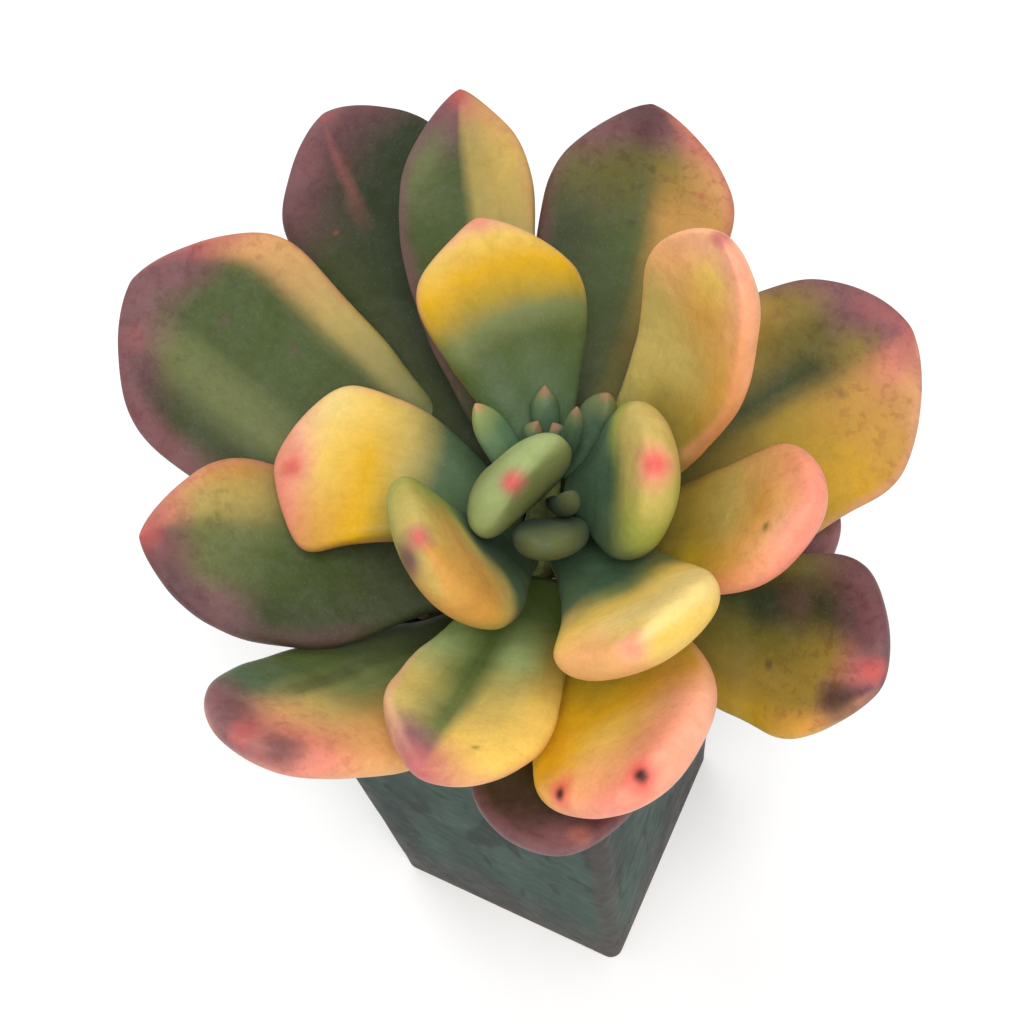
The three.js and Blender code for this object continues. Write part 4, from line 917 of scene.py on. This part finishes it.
def build_grit():
    """Loose crumbs of grit lying on the medium, one irregular pebble each."""
    half = (pot_width(70 * MM) - 2 * POT_WALL) / 2 - 1.7 * MM
    bm = bmesh.new()
    tone = []
    count = 0
    step = 2.3 * MM
    nx = int(2 * half / step)
    for i in range(nx + 1):
        for j in range(nx + 1):
            h = [hash01(i + 3, j + 7 + 13 * q) for q in range(8)]
            x = -half + (i + 0.5 * (j % 2) + (h[0] - 0.5) * 0.8) * step
            y = -half + (j + (h[1] - 0.5) * 0.8) * step
            if abs(x) > half or abs(y) > half or (x * x + y * y) < (4.2 * MM) ** 2 or h[2] < 0.06:
                continue
            r = (0.75 + 0.75 * h[3]) * MM
            z = soil_height(x, y) - 0.75 * MM + 0.25 * r
            made = bmesh.ops.create_icosphere(bm, subdivisions=2, radius=1.0)
            rot = Matrix.Rotation(h[4] * 6.28, 3, Vector((h[5] - 0.5, h[6] - 0.5, h[7] - 0.4)).normalized())
            sc = Vector((1.0, 0.72 + 0.3 * h[5], 0.55 + 0.3 * h[6]))
            for v in made["verts"]:
                p = v.co.copy()
                lump = 1 + 0.30 * noise.noise(p * 1.3 + Vector((i * 3.1, j * 1.7, 0))) + 0.12 * noise.noise(p * 3.3 + Vector((j, i, 4)))
                p = Vector((p.x * sc.x, p.y * sc.y, p.z * sc.z)) * lump
                v.co = rot @ p * r + Vector((x, y, z))
            tone += [(h[5], h[6], h[7])] * len(made["verts"])
            count += 1
    me = bpy.data.meshes.new("soil_grit")
    bm.to_mesh(me)
    bm.free()
    at = me.attributes.new("tone", "FLOAT_VECTOR", "POINT")
    at.data.foreach_set("vector", np.array(tone, dtype=np.float32).ravel())
    me.polygons.foreach_set("use_smooth", [True] * len(me.polygons))
    return me


soil = make_object("soil_bed", build_soil(), soil_material(), "soil", "soil")
grit = bpy.data.objects.new("soil_grit", build_grit())
scene.collection.objects.link(grit)
grit.data.materials.append(grit_material())
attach(grit, "root")


# ------------------------------------------------------------------------ stem
# height, x, y, radius, in millimetres, the CAD stem's own centreline
STEM = [
    (58, 0.00, 0.00, 3.4),
    (66, 0.00, 0.00, 3.3),
    (74, 0.48, 0.12, 3.2),
    (82, 1.48, 0.56, 3.1),
    (90, 2.60, 1.60, 3.0),
    (97, 3.44, 3.56, 2.8),
    (102, 3.92, 5.20, 2.4),
    (106, 4.16, 6.80, 1.8),
    (108.5, 4.31, 7.80, 1.3),
]


def build_stem():
    zs = np.array([r[0] for r in STEM]); xs = np.array([r[1] for r in STEM])
    ys = np.array([r[2] for r in STEM]); rs = np.array([r[3] for r in STEM])
    rings = []
    n = 40
    for z in np.linspace(zs[0], zs[-1], 90):
        cx, cy, r = np.interp(z, zs, xs), np.interp(z, zs, ys), np.interp(z, zs, rs)
        ring = []
        for j in range(n):
            a = 2 * math.pi * j / n
            # ridges left by old leaves, in a loose spiral
            turn = (z * 0.62 + a / (2 * math.pi) * 2.0) % 1.0
            scar = math.exp(-((turn - 0.5) / 0.13) ** 2)
            q = r * (0.95 + 0.07 * math.sin(3 * a + z * 0.12)) + 0.22 * scar + 0.12 * noise.noise(Vector((math.cos(a) * 3, math.sin(a) * 3, z * 0.6)))
            ring.append(Vector((cx + q * math.cos(a), cy + q * math.sin(a), z)) * MM)
        rings.append(ring)
    a, b = STEM[0], STEM[-1]
    return loft("stem_bark", rings, Vector((a[1], a[2], a[0])) * MM, Vector((b[1], b[2], b[0] + 0.6)) * MM)


def stem_material():
    n = Nodes("stem_bark")
    obj = n.coord()
    z = n.sep(obj)[2]
    long = n.noise(n.mapping(obj, (1, 1, 0.2)), 900.0, 5.0, 0.65, 0.5)
    bark = n.mix(n.ramp(long, 0.35, 0.7), tuple(lin("#5d4a38")), tuple(lin("#9b866a")))
    green = n.mix(n.ramp(n.noise(obj, 700.0, 4.0, 0.6), 0.3, 0.7), tuple(lin("#5c6a3c")), tuple(lin("#87904f")))
    up = n.ramp(n.math("ADD", z, n.math("MULTIPLY", n.math("SUBTRACT", long, 0.5), 0.012)), 0.078, 0.100)
    base = n.mix(up, bark, green)
    n.link(base, n.bsdf.inputs["Base Color"])
    n.link(n.ramp(long, 0.3, 0.7, 0.6, 0.85), n.bsdf.inputs["Roughness"])
    n.link(n.bump(long, 0.6, 0.0004), n.bsdf.inputs["Normal"])
    return n.mat


make_object("stem_bark", build_stem(), stem_material(), "stem", "stem")


# ------------------------------------------------------- floor, light, camera
def floor():
    me = bpy.data.meshes.new("floor")
    s = 6.0
    me.from_pydata([(-s, -s, 0), (s, -s, 0), (s, s, 0), (-s, s, 0)], [], [(0, 1, 2, 3)])
    ob = bpy.data.objects.new("floor", me)
    scene.collection.objects.link(ob)
    ob.location.z = POT_LO[2] - 0.0001
    n = Nodes("floor_paper")
    obj = n.coord()
    base = n.mix(n.ramp(n.noise(obj, 40.0, 3.0, 0.5), 0.3, 0.7), (0.90, 0.90, 0.90), (0.925, 0.925, 0.925))
    n.link(base, n.bsdf.inputs["Base Color"])
    n.bsdf.inputs["Roughness"].default_value = 0.9
    n.bsdf.inputs["Specular IOR Level"].default_value = 0.1
    me.materials.append(n.mat)


floor()

world = scene.world or bpy.data.worlds.new("studio")
scene.world = world
world.use_nodes = True
bg = world.node_tree.nodes.get("Background") or world.node_tree.nodes.new("ShaderNodeBackground")
bg.inputs["Color"].default_value = (1.0, 1.0, 1.0, 1.0)
bg.inputs["Strength"].default_value = WORLD = 0.56


def softbox(name, loc, target, size, power, colour=(1, 1, 1)):
    li = bpy.data.lights.new(name, "AREA")
    li.shape = "DISK"
    li.size = size
    li.energy = power
    li.color = colour
    ob = bpy.data.objects.new(name, li)
    ob.location = loc
    ob.rotation_mode = "QUATERNION"
    ob.rotation_quaternion = (Vector(target) - Vector(loc)).to_track_quat("-Z", "Y")
    scene.collection.objects.link(ob)
    return ob


softbox("key", (0.38, -0.42, 1.25), (0, 0, 0.09), 0.9, 14.5, (1.0, 0.99, 0.97))
softbox("fill", (-0.8, 0.5, 0.9), (0, 0, 0.08), 1.1, 3.5, (0.97, 0.985, 1.0))

scene.view_settings.view_transform = "Standard"
scene.view_settings.look = "None"
scene.view_settings.exposure = 0.0
scene.view_settings.gamma = 1.0

# The eye is high in front, to the right, close, and tipped a little to one side
ELEV, AZ, TIP = 0.985964, 0.617645, -0.193739
AIM = Vector((-4.9284, 10.8527, 90.0)) * MM
DIST = 189.4337 * MM
back = Vector((math.sin(AZ) * math.cos(ELEV), -math.cos(AZ) * math.cos(ELEV), math.sin(ELEV)))
right0 = Vector((math.cos(AZ), math.sin(AZ), 0.0))
up0 = back.cross(right0)
right = math.cos(TIP) * right0 + math.sin(TIP) * up0
up = -math.sin(TIP) * right0 + math.cos(TIP) * up0
cam_data = bpy.data.cameras.new("eye")
cam = bpy.data.objects.new("eye", cam_data)
scene.collection.objects.link(cam)
cam_data.sensor_width = 36.0
cam_data.lens = 36.0 * 1300.0 / 1024.0
cam_data.clip_start, cam_data.clip_end = 0.01, 20.0
m = Matrix((right, up, back)).transposed().to_4x4()
m.translation = AIM + back * DIST
cam.matrix_world = m
scene.camera = cam
